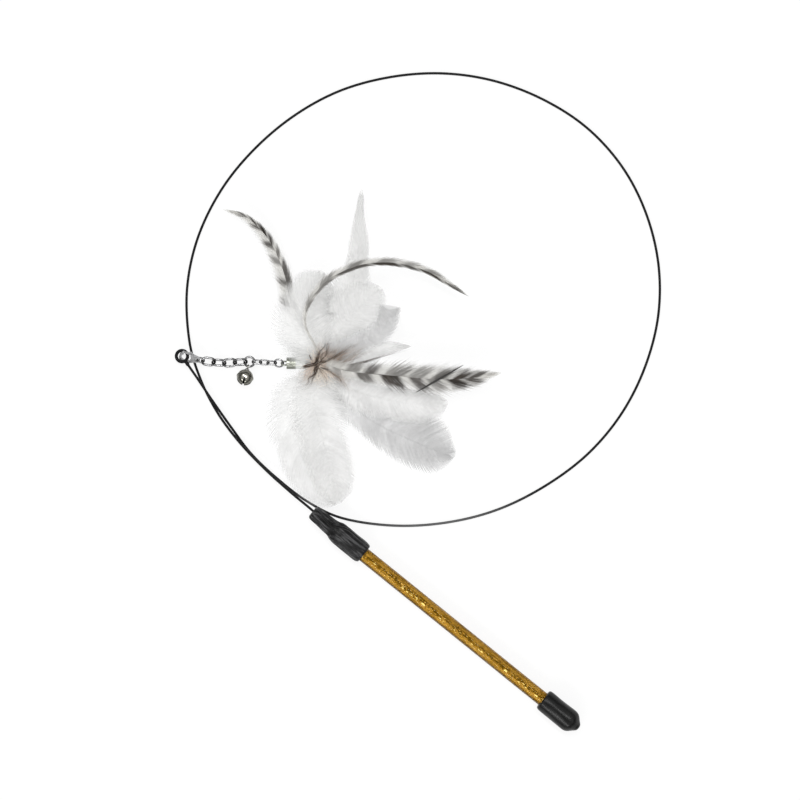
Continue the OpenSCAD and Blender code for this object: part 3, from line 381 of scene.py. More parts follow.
def joined(parts):
    """Several (points, quads, marks) as one: the lists joined, with the later faces' numbers moved up."""
    points, quads, marks = zip(*parts)
    starts = np.cumsum([0] + [len(p) for p in points[:-1]])
    return np.vstack(points), np.vstack([q + s for q, s in zip(quads, starts)]), np.vstack(marks)


def quill_lines(route):
    """Along a quill: how far its points lie, its length, its heading in plan and the way to its left."""
    run = lengths(route[:, :3])
    heading = unit(np.gradient(route[:, :3], axis=0) * [1, 1, 0])
    return run, run[-1], heading, np.stack([-heading[:, 1], heading[:, 0], 0 * heading[:, 0]], -1)


def vane(route, down, sides, spacing, lean, seed, ragged, fade, full=1.6, steps=10, louvre=0.12,
         sweep=1.3, wild=0.12):
    """A feather's barbs on both sides of its quill, loose and downy near the root.

    A barb leaves the quill at a0. Its tip is at a1 = a0 + r (1 - e^(-p / r)) along the quill, r
    being what is left of it and p lean times the half width, and more near the quill's tip. It
    stands h(a1) out. In between, for t from 0 to 1, it lies a0 + (a1 - a0) t^sweep along and
    h(a1) t out. Near the root it is loose by 1 - a0 / (down's share of the length): its reach
    grows by down x loose^0.6 and it leans at random. Past 1 - fade it narrows to a hair. Returns
    points, quads and marks.
    """
    rng = np.random.default_rng(seed)
    run, total, heading, out = quill_lines(route)
    each = (int(total / spacing), 1)
    t = np.linspace(0, 1, steps)[None, :]
    parts = []
    for side, share, extra in ((1, sides[0], down[0]), (-1, sides[1], down[1])):
        a0 = np.linspace(0.02, 0.96, each[0])[:, None] * total + rng.normal(0, 0.3 * spacing, each)
        loose = np.clip(1 - a0 / (down[2] * total), 0, 1)
        rest = total - a0
        push = lean * np.interp(a0, run, route[:, 3]) + rest * (a0 / total) ** 6
        a1 = a0 + rest * (1 - np.exp(-push / rest))
        h = np.maximum(np.interp(a1, run, route[:, 3]) * share, 0.2) * (1 + rng.normal(0, ragged, each))
        more = extra * loose**0.6 * rng.uniform(0.8, 1.0, each)
        a1 = a1 + more * rng.normal(0.0, 0.22, each)
        a = np.clip(a0 + (a1 - a0) * t**sweep, 0, total)
        b = (h + more) * t
        aim = unit(unit(at(out, run, a0)) * loose[..., None] + unit(at(out, run, a)) * (1 - loose)[..., None])
        sway = wild * (h + more) * np.sin(rng.uniform(1.5, 4, each) * t) * rng.normal(0, 1, each)
        centre = at(route[:, :3], run, a) + side * b[..., None] * aim
        centre += (sway * loose)[..., None] * unit(at(heading, run, a0))
        lift = (rng.normal(0, 0.1, each) + loose * rng.uniform(-0.2, 1.4, each)) * np.minimum(1, 4 * t)
        high = centre[..., 2] + lift - DROOP * b * t + BARB_RISE
        centre[..., 2] = np.maximum(high, BARB_LIFT - MOUTH[2])
        width = spacing * full * (np.clip((1 - t) / fade, 0, 1) ** 0.8 * 0.9 + 0.1)
        width = width * (1 + rng.normal(0, 0.12, each))
        tilt = np.broadcast_to(side * louvre * (1 + rng.normal(0, 0.5, each)), a.shape)
        points, quads = ribbons(centre, width, tilt)
        marks = marked(a0 / total, 0.5 + 0.5 * side * t, rng.random(each), a / total)
        parts.append((points, quads, np.repeat(marks, 2, axis=0)))
    return joined(parts)


def web(route, down, sides, seed, shy=0.97):
    """The thin web that a feather's barbs make together: S(a) + h(a) t N(a), on both sides.

    h is shy x the half width, with a small ripple, plus 0.92 x the down's reach near the root. It
    droops as t^2 and waves a little, a quarter of a millimetre under the barbs. Returned as
    vane() returns its own.
    """
    run, total, _, out = quill_lines(route)
    rng = np.random.default_rng(seed)
    a = np.linspace(0, total, WEB_ROWS)[:, None]
    t = np.linspace(0, 1, WEB_COLUMNS)[None, :]
    quads = grid_quads(WEB_ROWS, WEB_COLUMNS)
    parts = []
    for side, share, extra in ((1, sides[0], down[0]), (-1, sides[1], down[1])):
        loose = np.clip(1 - a / (down[2] * total), 0, 1)
        ripple = 1 + 0.012 * np.sin(a * 1.9 + rng.uniform(0, 6)) + 0.012 * np.sin(a * 3.7 + rng.uniform(0, 6))
        h = shy * np.interp(a, run, route[:, 3]) * share * ripple
        h = h + 0.92 * extra * loose**0.6 * np.clip(a / 3, 0, 1)
        points = at(route[:, :3], run, a) + side * (h * t)[..., None] * unit(at(out, run, a))
        wave = 0.12 * np.sin(6 * t + a * 0.5 + rng.uniform(0, 6)) * t
        high = points[..., 2] - DROOP * h * t**2 - WEB_SINK + wave
        points[..., 2] = np.maximum(high, WEB_LIFT - MOUTH[2])
        marks = marked(a / total, 0.5 + 0.5 * side * t, WEB_OWN, a / total)
        parts.append((points.reshape(-1, 3), quads if side < 0 else quads[:, ::-1], marks))
    return joined(parts)


def bundle(seed, hairs, shade, spread, wide, way, floor):
    """Hairs along a way: S(t) + spread (0.35 u + 0.6 v t + wave) aside + 0.8 spread w (1 - t) ahead.

    u, v, w and the wave are each hair's own; t runs to the hair's own end between 0.55 and 1. It
    lies over an arch floor + 3.5 rise sqrt(t) - 2.5 rise t^2 high, and narrows as (1 - t)^0.6.
    """
    rng = np.random.default_rng(seed)
    path = smooth(way, 8)
    run = lengths(path) / lengths(path)[-1]
    each = (hairs, 1)
    t = np.linspace(0, 1, 14)[None, :]
    where = t * rng.uniform(0.55, 1.0, each)
    ahead = unit(at(unit(np.gradient(path, axis=0)), run, where))
    aside = np.stack([-ahead[..., 1], ahead[..., 0]], -1)
    u, v, w = (rng.normal(0, 1, each) for _ in range(3))
    wave = np.sin(rng.uniform(4, 13, each) * t + 6 * u) * t * 0.5
    on = at(path, run, where) + aside * (spread * (0.35 * u + 0.6 * v * t + wave))[..., None]
    on = on + ahead * (spread * 0.8 * w * (1 - t))[..., None]
    rise = rng.uniform(0.1, 1.0, each)
    high = floor - MOUTH[2] + 3.5 * rise * np.sqrt(t) - 2.5 * rise * t**2
    width = wide * rng.uniform(0.5, 1.2, each) * (1 - 0.97 * t) ** 0.6
    tilt = np.broadcast_to(rng.normal(0, 0.5, each), where.shape)
    points, quads = ribbons(np.concatenate([on, high[..., None]], -1), width, tilt)
    tone = np.clip(shade + rng.normal(0, 0.12, each), 0, 1)
    return points, quads, np.repeat(marked(0 * t, 0.5 + 0.5 * t, tone, t), 2, axis=0)


def feather_route(slot, shares, reach, width):
    """The quill's way in millimetres from the head's mouth, with the half width as its fourth column."""
    row, place = QUILL_ROWS[slot]
    rows = np.array([[0, 0, 0, QUILL_D / width]] + shares) * [reach, reach, BUNDLE_D, width / 2]
    return smooth(rows + [0, place * QUILL_PITCH, row * QUILL_PITCH * 0.95, 0], 10)


def quill(route, thin):
    """The quill as a tube from inside the binding to near the feather's tip, down to the thin radius."""
    back = route[:1, :3] - [[BUNDLE_LEN - 2.5, 0, 0]]
    path = np.vstack([back, route[:-8, :3]])
    share = lengths(path) / lengths(path)[-1]
    points, quads = tube(path, QUILL_D / 2 + (thin - QUILL_D / 2) * share**0.5, 6)
    ends = np.repeat(np.concatenate([[0], share, [1]]), 6)
    return points, quads, marked(ends, 0.5, QUILL_OWN, ends)


# ---------------------------------------------------------------- pieces


def mesh_piece(name, points, quads, finish, marks=None, weld=False, rounded=True):
    """A mesh object at the origin from millimetre points and faces of four.

    marks becomes the fibre map (root, out) and the point attributes "own" and "station". weld
    merges doubles and turns all faces outwards.
    """
    mesh = bpy.data.meshes.new(name)
    mesh.vertices.add(len(points))
    mesh.vertices.foreach_set("co", (points * MM).astype(np.float32).ravel())
    mesh.loops.add(quads.size)
    mesh.loops.foreach_set("vertex_index", quads.astype(np.int32).ravel())
    mesh.polygons.add(len(quads))
    mesh.polygons.foreach_set("loop_start", np.arange(0, quads.size, 4, dtype=np.int32))
    if marks is not None:
        fibre = mesh.uv_layers.new(name="fibres")
        fibre.data.foreach_set("uv", marks[quads.ravel(), :2].astype(np.float32).ravel())
        for column, mark in ((2, "own"), (3, "station")):
            value = mesh.attributes.new(mark, "FLOAT", "POINT")
            value.data.foreach_set("value", marks[:, column].astype(np.float32))
    mesh.update(calc_edges=True)
    if weld:
        work = bmesh.new()
        work.from_mesh(mesh)
        bmesh.ops.remove_doubles(work, verts=work.verts, dist=1e-7)
        bmesh.ops.recalc_face_normals(work, faces=work.faces)
        work.to_mesh(mesh)
        work.free()
    mesh.polygons.foreach_set("use_smooth", np.full(len(mesh.polygons), rounded))
    mesh.validate()
    mesh.materials.append(finish)
    piece = bpy.data.objects.new(name, mesh)
    bpy.context.scene.collection.objects.link(piece)
    return piece


def stand_for(piece, body, slot, *nodes):
    """The piece rides on its body and replaces CAD nodes; slot is not used."""
    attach(piece, body)
    if nodes:
        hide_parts(*nodes)


def shell(name, points, quads, finish, body, slot, node):
    """One closed piece that stands for a CAD node."""
    stand_for(mesh_piece(name, points, quads, finish, weld=True), body, slot, node)


def feather_piece(name, parts, finish, slot, *nodes):
    """One piece of the head from its parts, which stands for CAD nodes."""
    points, quads, marks = joined(parts)
    stand_for(mesh_piece(name, from_head(points), quads, finish, marks), "head", slot, *nodes)


def repaint(finish, *names):
    """Puts one finish on CAD nodes."""
    for name in names:
        mesh = NODES[name].data
        mesh.materials.clear()
        mesh.materials.append(finish)


def shade(colour, share):
    """A colour made lighter or darker by a share."""
    return tuple(share * c for c in colour)


def colour4(value):
    """A colour with its alpha; a number counts as a grey."""
    return (*(value[:3] if hasattr(value, "__len__") else (value,) * 3), 1.0)


class Nodes:
    """A node tree filled by short calls, which leave out the word ShaderNode of a node's kind."""

    def __init__(self, tree):
        self.tree = tree
        tree.nodes.clear()

    def add(self, kind, sockets=(), **settings):
        """A node with its settings made, its plain sockets set and the others linked."""
        node = self.tree.nodes.new("ShaderNode" + kind)
        for key, value in settings.items():
            setattr(node, key, value)
        for key, value in dict(sockets).items():
            if isinstance(value, bpy.types.NodeSocket):
                self.tree.links.new(value, node.inputs[key])
            else:
                node.inputs[key].default_value = value
        return node

    def sum(self, operation, *values, clamp=False):
        """One step of arithmetic on sockets or numbers."""
        node = self.add("Math", dict(enumerate(values)), operation=operation, use_clamp=clamp)
        return node.outputs[0]

    def times(self, first, second):
        """first x second."""
        return self.sum("MULTIPLY", first, second)

    def plus(self, first, second, share=None):
        """first + second, or first + share x second."""
        return self.sum("ADD", first, second if share is None else self.times(second, share))

    def minus(self, first, second):
        """first - second."""
        return self.sum("SUBTRACT", first, second)

    def swing(self, value, size):
        """A number from 0 to 1 made to swing about nothing: size x (value - 0.5)."""
        return self.times(self.minus(value, 0.5), size)

    def spread(self, value, low, high, to_low=0.0, to_high=1.0):
        """value taken from low..high to to_low..to_high, held at the ends."""
        sockets = {"Value": value, 1: low, 2: high, 3: to_low, 4: to_high}
        return self.add("MapRange", sockets).outputs[0]

    def between(self, share, first, second):
        """A number between two, by a share."""
        return self.add("Mix", {0: share, 2: first, 3: second}).outputs[0]

    def here(self):
        """Object coordinates."""
        return self.add("TexCoord").outputs["Object"]

    def place(self, scale=(1, 1, 1), turn=0.0, of=None):
        """Object coordinates, or others, stretched and turned about Z."""
        sockets = {"Vector": of or self.here(), "Scale": scale, "Rotation": (0, 0, turn)}
        return self.add("Mapping", sockets).outputs[0]

    def noise(self, vector, scale, detail, rough=0.5):
        """Soft noise from 0 to 1."""
        sockets = {"Vector": vector, "Scale": scale, "Detail": detail, "Roughness": rough}
        return self.add("TexNoise", sockets).outputs["Fac"]

    def cells(self, scale, stretch=(1, 1, 1)):
        """Random cells: how far a point is from its cell's middle, and the cell's own three numbers."""
        node = self.add("TexVoronoi", {"Vector": self.place(stretch), "Scale": scale, "Randomness": 1})
        return node.outputs["Distance"], self.add("SeparateColor", {0: node.outputs["Color"]}).outputs

    def mark(self, name):
        """A number that each point of a feather carries: own or station."""
        return self.add("Attribute", attribute_name=name).outputs["Fac"]

    def ramp(self, value, *stops):
        """A colour ramp through (place, colour) stops."""
        node = self.add("ValToRGB", {"Fac": value})
        while len(node.color_ramp.elements) < len(stops):
            node.color_ramp.elements.new(0.5)
        for element, (position, colour) in zip(node.color_ramp.elements, stops):
            element.position, element.color = position, colour4(colour)
        return node.outputs["Color"]

    def mixed(self, share, first, second):
        """A colour between two, by a share."""
        return self.add("Mix", {0: share, 6: first, 7: second}, data_type="RGBA").outputs[2]

    def either(self, share, first, second):
        """A shader between two, by a share."""
        return self.add("MixShader", {0: share, 1: first, 2: second}).outputs[0]


class Finish(Nodes):
    """One procedural material."""

    def __init__(self, name):
        self.material = bpy.data.materials.new(name)
        self.material.use_nodes = True
        super().__init__(self.material.node_tree)

    def bump(self, height, strength, distance):
        """A normal that stands up with the height."""
        sockets = {"Height": height, "Strength": strength, "Distance": distance}
        return self.add("Bump", sockets).outputs[0]

    def principled(self, **sockets):
        """The main shader, its sockets named in small letters."""
        named = {key.replace("_", " ").title().replace("Ior", "IOR"): value for key, value in sockets.items()}
        return self.add("BsdfPrincipled", named).outputs[0]

    def finish(self, shader):
        """Ends the material with its shader."""
        self.add("OutputMaterial", {"Surface": shader})
        return self.material


# ---------------------------------------------------------------- finishes


def vinyl(name, colour, low, high, grain, sheen, streak_strength):
    """Dipped vinyl: near black, with a faint grain, glossier patches and lengthwise streaks painted lighter
    and darker, as painted highlights on ridges and painted shade in creases.

    Its roughness runs from low to high; the streaks' painted highlights are so many times brighter than the
    colour.
    """
    f = Finish(name)
    where = f.place()
    patches = f.noise(where, 260, 4, 0.6)
    fine = f.noise(where, 2600, 3, 0.6)
    ridge_streaks = f.noise(f.place((1, 0.14, 1), 0.03), 620, 4, 0.6)
    # Painted highlight and shade: lengthwise streaks are painted many times lighter and down to half as dark,
    # standing in for lit ridges and shaded creases.
    tone = f.ramp(ridge_streaks, (0.42, shade(colour, 0.5)), (0.5, colour), (0.63, shade(colour, streak_strength)))
    height = f.plus(f.plus(fine, patches, 0.6), ridge_streaks, 0.3 * streak_strength)
    return f.finish(f.principled(
        base_color=tone, roughness=f.spread(patches, 0.3, 0.7, low, high), specular_ior_level=sheen,
        normal=f.bump(height, grain, 0.0003),
    ))


def coated_wire(colour):
    """Nylon coating over spring wire: satin black with fine draw lines, and a grey painted highlight beside
    the boot.
    """
    f = Finish("coated_wire")
    where = f.place()
    wear = f.noise(where, 420, 4, 0.65)
    tone = f.ramp(wear, (0.35, colour), (0.75, shade(colour, 2.2)))
    # Painted highlight: round one spot the wire is painted grey, standing in for the lamps' sheen on that
    # stretch.
    spot = {0: f.here(), 1: shade(SHEEN_SPOT, MM)}
    away = f.add("VectorMath", spot, operation="DISTANCE").outputs["Value"]
    tone = f.mixed(f.spread(away, 0.012, 0.06, 1.0, 0.0), tone, (0.1, 0.1, 0.102, 1))
    return f.finish(f.principled(
        base_color=tone, roughness=f.spread(wear, 0.3, 0.75, 0.32, 0.5), specular_ior_level=0.12,
        normal=f.bump(f.noise(where, 3200, 2), 0.12, 0.0002),
    ))


def metal(name, colour, low, high, dent=0.12, side_shade=0.1, plate=1.0):
    """Plated metal: bright on top and painted darker down its sides, a painted reflection of dark
    surroundings, with small dents that break reflections.

    Its roughness runs from low to high, its sides are painted down to the given share of its brightness as
    painted shade, and plate is how metallic.
    """
    f = Finish(name)
    where = f.place()
    cloud = f.noise(where, 700, 4, 0.6)
    facing = f.add("TexCoord").outputs["Normal"]
    steep = f.sum("ABSOLUTE", f.add("SeparateXYZ", {0: facing}).outputs[2])
    steep = f.plus(steep, f.swing(cloud, 0.5))
    # Painted shade: the colour darkens as the surface turns from facing up, standing in for the dark
    # surroundings that the sides of real metal reflect.
    tone = f.ramp(steep, (0.72, shade(colour, side_shade)), (0.94, shade(colour, max(side_shade, 0.35))), (1.0, colour))
    return f.finish(f.principled(
        base_color=tone, metallic=plate, roughness=f.spread(cloud, 0.3, 0.7, high, low),
        normal=f.bump(f.noise(where, 1400, 3, 0.6), dent, 0.0004),
    ))


def clear_tube():
    """Clear acrylic: glass that lets lamps through to the film inside it."""
    f = Finish("clear_tube")
    scuff = f.noise(f.place((1, 0.05, 1)), 1800, 3)
    glass = f.principled(
        base_color=(1, 0.98, 0.93, 1), roughness=f.spread(scuff, 0.4, 0.8, 0.06, 0.16), ior=1.47,
        transmission_weight=1.0, specular_tint=(0.2, 0.17, 0.1, 1),
    )
    through = f.add("BsdfTransparent", {"Color": (1, 0.98, 0.93, 1)}).outputs[0]
    return f.finish(f.either(f.add("LightPath").outputs["Is Shadow Ray"], glass, through))


def glitter_film(gold):
    """Gold glitter film: flakes of many tilts, long streaks, and a broken dark line along its top.

    across is how far a point is to the right of the handle's axis. The dark line is where the sum
    |across + sway - 0.0003| + ragged noise is small. The left half is painted lighter as painted light,
    the film's left edge is painted dark as painted shade, and painted glints stand in a narrow band beside
    the dark line.
    """
    f = Finish("gold_glitter_film")
    across = f.minus(f.add("SeparateXYZ", {0: f.here()}).outputs[0], HANDLE_X * MM)
    _, flake = f.cells(1500)
    away, glint_cell = f.cells(560, (1, 0.7, 1))
    streaks = f.noise(f.place((1, 0.05, 1)), 1100, 5, 0.65)
    blotches = f.noise(f.place((1, 0.3, 1)), 420, 4, 0.6)
    deep = tuple(c * k for c, k in zip(gold, (0.45, 0.42, 0.06)))
    light = tuple(min(1, c * k) for c, k in zip(gold, (1.25, 1.4, 2.2)))
    tone = f.plus(f.times(streaks, 0.6), blotches, 0.4)
    # Painted light: the film is painted a little lighter towards its left, as if lit by the lamp on that
    # side.
    tone = f.plus(tone, f.spread(across, -0.002, 0.0, 0.04, 0.0))
    colour = f.ramp(tone, (0.4, deep), (0.5, gold), (0.7, light))
    sway = f.swing(f.noise(f.place((0.2, 1, 0.2)), 160, 3), 0.001)
    line = f.sum("ABSOLUTE", f.minus(f.plus(across, sway), 0.0003))
    line = f.plus(line, f.swing(f.noise(f.place((1, 0.8, 1), 0.5), 900, 3, 0.7), 0.006))
    colour = f.mixed(f.spread(line, 0.0004, 0.0007, 0.95, 0.0), colour, colour4(shade(deep, 0.62)))
    # Painted shade: the film's left edge is painted dark, where the tube's side turns away.
    colour = f.mixed(f.spread(across, -0.0026, -0.0022, 0.9, 0.0), colour, colour4(shade(deep, 0.6)))
    colour = f.mixed(f.spread(flake[1], 0.85, 0.92, 0, 0.4), colour, colour4(deep))
    # Painted glints: bright gold flakes painted in a narrow band beside the dark line, standing in for the
    # lamps' sparkle on the glitter.
    near = f.spread(f.sum("ABSOLUTE", f.plus(across, 0.0005)), 0.0004, 0.0006, 1.0, 0.0)
    glint_mask = f.times(f.spread(away, 0.36, 0.44, 1.0, 0.0), near)
    colour = f.mixed(f.times(f.spread(glint_cell[0], 0.42, 0.43), glint_mask), colour, (1.0, 0.78, 0.25, 1))
    return f.finish(f.principled(
        base_color=colour, roughness=f.spread(flake[0], 0.5, 0.9, 0.8, 0.5),
        normal=f.bump(f.plus(flake[2], streaks, 1.2), 0.35, 0.0003), specular_ior_level=0.03,
    ))


def fibre_parts(f):
    """The fibre map and its parts: root along the quill, side (1 is left) and how far out (0 to 1)."""
    fibre = f.add("UVMap", uv_map="fibres").outputs[0]
    part = f.add("SeparateXYZ", {0: fibre}).outputs
    out = f.times(f.sum("ABSOLUTE", f.minus(part[1], 0.5)), 2.0)
    return fibre, part[0], f.sum("GREATER_THAN", part[1], 0.5), out


def thin_fibre(f, colour, veil, lit, rough, sheen):
    """A fibre that lets part of the light through, and by the veil's share lets what is behind it show."""
    solid = f.principled(base_color=colour, roughness=rough, specular_ior_level=sheen)
    through = f.add("BsdfTranslucent", {"Color": colour}).outputs[0]
    clear = f.add("BsdfTransparent").outputs[0]
    return f.finish(f.either(veil, f.either(lit, solid, through), clear))


def plume_barbs(name, low, high, warm):
    """White barbs over their web: paper-thin, lit from both sides, a little greyer where they bunch."""
    f = Finish(name)
    fibre, _, _, out = fibre_parts(f)
    bunches = f.noise(f.place((22, 1.6, 1), of=fibre), 1.0, 2, 0.5)
    tone = f.plus(f.times(bunches, 0.5), f.noise(f.place(), 60, 2, 0.5), 0.5)
    tone = f.minus(tone, f.spread(f.mark("station"), 0.35, 0.95, 0.0, 0.15))
    grey = f.ramp(tone, (0.36, shade(warm, low)), (0.6, shade(warm, high)))
    barb_veil = f.plus(f.spread(out, 0.55, 1.0, 0.42, 0.93), f.spread(bunches, 0.4, 0.7, -0.08, 0.12))
    web_veil = f.plus(f.spread(out, 0.45, 1.0, 0.3, 1.0), f.spread(bunches, 0.4, 0.7, -0.05, 0.1))
    veil = f.between(f.sum("GREATER_THAN", f.mark("own"), WEB_OWN - 0.5), barb_veil, web_veil)
    veil = f.sum("MINIMUM", veil, 1.0, clamp=True)
    return thin_fibre(f, grey, veil, lit=0.45, rough=0.8, sheen=0.1)


def bar_ramp(f, place, bars):
    """A grey ramp that is each bar's darkness between its start and its end, and nothing elsewhere."""
    stops = []
    for first, last, ink in bars:
        stops += [(first - 0.012, 0.0), (first + 0.008, ink)]
        stops += [(last - 0.006, ink), (min(last + 0.02, 1.0), 0.0)]
    return f.ramp(place, *stops)


def hackle_barbs(name, bars, dark, pale, reach, clear):
    """Barred barbs: dark patches that start at the quill and run out along the barbs.

    A point's place among the bars is its barb's root, moved by slant towards the point's own
    station, and a little by noise. Patches end at reach, on barbs that are clear elsewhere.
    """
    f = Finish(name)
    slant = 0.35
    fibre, root, side, out = fibre_parts(f)
    own = f.mark("own")
    clumps = f.noise(f.place((30, 1.2, 1), of=fibre), 1.0, 3, 0.6)
    wide = f.noise(f.place((7, 0.8, 1), of=fibre), 1.0, 1, 0.5)
    in_web = f.sum("GREATER_THAN", own, WEB_OWN - 0.5)
    place = f.plus(root, f.minus(f.mark("station"), root), slant)
    place = f.plus(place, f.swing(clumps, 0.05))
    place = f.minus(place, f.times(in_web, f.times(out, 0.05)))
    ink = f.mixed(side, bar_ramp(f, place, bars[1]), bar_ramp(f, place, bars[0]))
    loose = f.plus(out, f.swing(own, f.minus(0.4, f.times(in_web, 0.4))))
    loose = f.plus(loose, f.swing(wide, 0.8))
    ink = f.sum("MULTIPLY", ink, f.spread(loose, reach, reach + 0.35, 1.0, 0.0), clamp=True)
    paper = f.ramp(clumps, (0.35, shade(pale, 0.8)), (0.65, pale))
    brown = f.ramp(f.plus(clumps, own, 0.2), (0.35, dark), (0.8, shade(dark, 3.2)))
    bare = f.spread(out, 0.2, 1.0, clear, 0.93)
    veil = f.between(in_web, bare, f.spread(out, 0.4, 1.0, 0.45, 1.0))
    veil = f.times(veil, f.minus(1.0, f.times(ink, f.between(in_web, 0.85, 0.5))))
    return thin_fibre(f, f.mixed(ink, paper, brown), veil, lit=0.3, rough=0.6, sheen=0.25)


def fluff_barbs(dark, tan, pale):
    """Down: each hair has its own shade from dark brown to cream, and is clearer towards its tip."""
    f = Finish("brown_fluff")
    cream = tuple(min(1, c) for c in shade(pale, 1.15))
    tone = f.ramp(f.mark("own"), (0.0, dark), (0.35, tan), (0.7, pale), (1.0, cream))
    veil = f.spread(f.mark("station"), 0.4, 1.0, 0.1, 0.7)
    return thin_fibre(f, tone, veil, lit=0.3, rough=0.7, sheen=0.2)


def plain_plastic(name, colour, roughness):
    """Moulded plastic with a faint flow pattern."""
    f = Finish(name)
    tone = f.ramp(f.noise(f.place((1, 0.3, 1)), 500, 3), (0.3, shade(colour, 0.9)), (0.7, colour))
    return f.finish(f.principled(
        base_color=tone, roughness=roughness, normal=f.bump(f.noise(f.place(), 2200, 2), 0.1, 0.0002),
    ))


def clear_glue():
    """Set clear glue: glassy, with cloudy greenish lights inside."""
    f = Finish("clear_glue")
    cloud = f.noise(f.place(), 420, 3, 0.6)
    tone = f.ramp(cloud, (0.35, (0.82, 0.85, 0.8)), (0.6, (0.97, 0.98, 0.97)))
    return f.finish(f.principled(
        base_color=tone, roughness=0.12, transmission_weight=0.35, ior=1.45,
        normal=f.bump(f.noise(f.place(), 700, 3), 0.5, 0.0006),
    ))


def thread_finish(colour):
    """Waxed thread: dark, with the twist of its strands."""
    f = Finish("black_thread")
    sockets = {"Vector": f.place(turn=0.6), "Scale": 900, "Distortion": 2.0}
    twist = f.add("TexWave", sockets).outputs["Fac"]
    tone = f.ramp(twist, (0.2, shade(colour, 0.6)), (0.8, shade(colour, 1.8)))
    return f.finish(f.principled(base_color=tone, roughness=0.55, normal=f.bump(twist, 0.4, 0.0001)))


# ---------------------------------------------------------------- what a user may change


class WandSettings(bpy.types.PropertyGroup):
    """Sizes and colours of the handle and its wire."""

    wire_colour: bpy.props.FloatVectorProperty(
        name="Wire", description="Colour of the wire's coating", subtype="COLOR",
        default=(0.004, 0.004, 0.0045),
    )
    cap_colour: bpy.props.FloatVectorProperty(
        name="Cap", description="Colour of the end cap's vinyl", subtype="COLOR",
        default=(0.006, 0.006, 0.006),
    )
    boot_colour: bpy.props.FloatVectorProperty(
        name="Boot", description="Colour of the wire boot's vinyl", subtype="COLOR",
        default=(0.0075, 0.0075, 0.0077),
    )
    gold: bpy.props.FloatVectorProperty(
        name="Gold", description="Main colour of the glitter film", subtype="COLOR",
        default=(0.38, 0.205, 0.026),
    )
    fold_depth: bpy.props.FloatProperty(
        name="Folds", description="Depth of the boot's lengthwise folds", unit="LENGTH",
        default=0.001, min=0, max=0.0015,
    )


class HeadSettings(bpy.types.PropertyGroup):
    """Sizes and colours of the lure's metal and feathers."""

    silver: bpy.props.FloatVectorProperty(
        name="Silver", description="Colour of the plated metal", subtype="COLOR", default=(0.86, 0.86, 0.87)
    )
    barb_spacing: bpy.props.FloatProperty(
        name="Barb spacing", description="From one barb of a plume to the next", unit="LENGTH",
        default=0.00018, min=0.0001, max=0.001,
    )
    hackle_dark: bpy.props.FloatVectorProperty(
        name="Bars", description="Colour of the hackles' bars", subtype="COLOR", default=(0.032, 0.027, 0.023)
    )
    hackle_pale: bpy.props.FloatVectorProperty(
        name="Between bars", description="Colour of the hackles between bars", subtype="COLOR",
        default=(0.86, 0.85, 0.82),
    )
    fluff_tan: bpy.props.FloatVectorProperty(
        name="Fluff", description="Middle shade of the brown fluff", subtype="COLOR", default=(0.5, 0.38, 0.3)
    )


class StageSettings(bpy.types.PropertyGroup):
    """The floor, the lamps and the camera."""

    floor_colour: bpy.props.FloatVectorProperty(
        name="Floor", description="Colour of the floor", subtype="COLOR", default=(1.0, 1.0, 1.0)
    )
    lamp_strength: bpy.props.FloatProperty(
        name="Lamps", description="Strength of the two lamps", default=1.0, min=0
    )
    view_width: bpy.props.FloatProperty(
        name="View width", description="Width that the camera sees on the floor", unit="LENGTH", default=0.44
    )
    camera_height: bpy.props.FloatProperty(
        name="Camera height", description="Height of the camera over the floor", unit="LENGTH", default=3.0
    )


def wand():
    """The handle's settings."""
    return bpy.context.scene.teaser_wand


def head():
    """The lure's settings."""
    return bpy.context.scene.teaser_head


# ---------------------------------------------------------------- operators


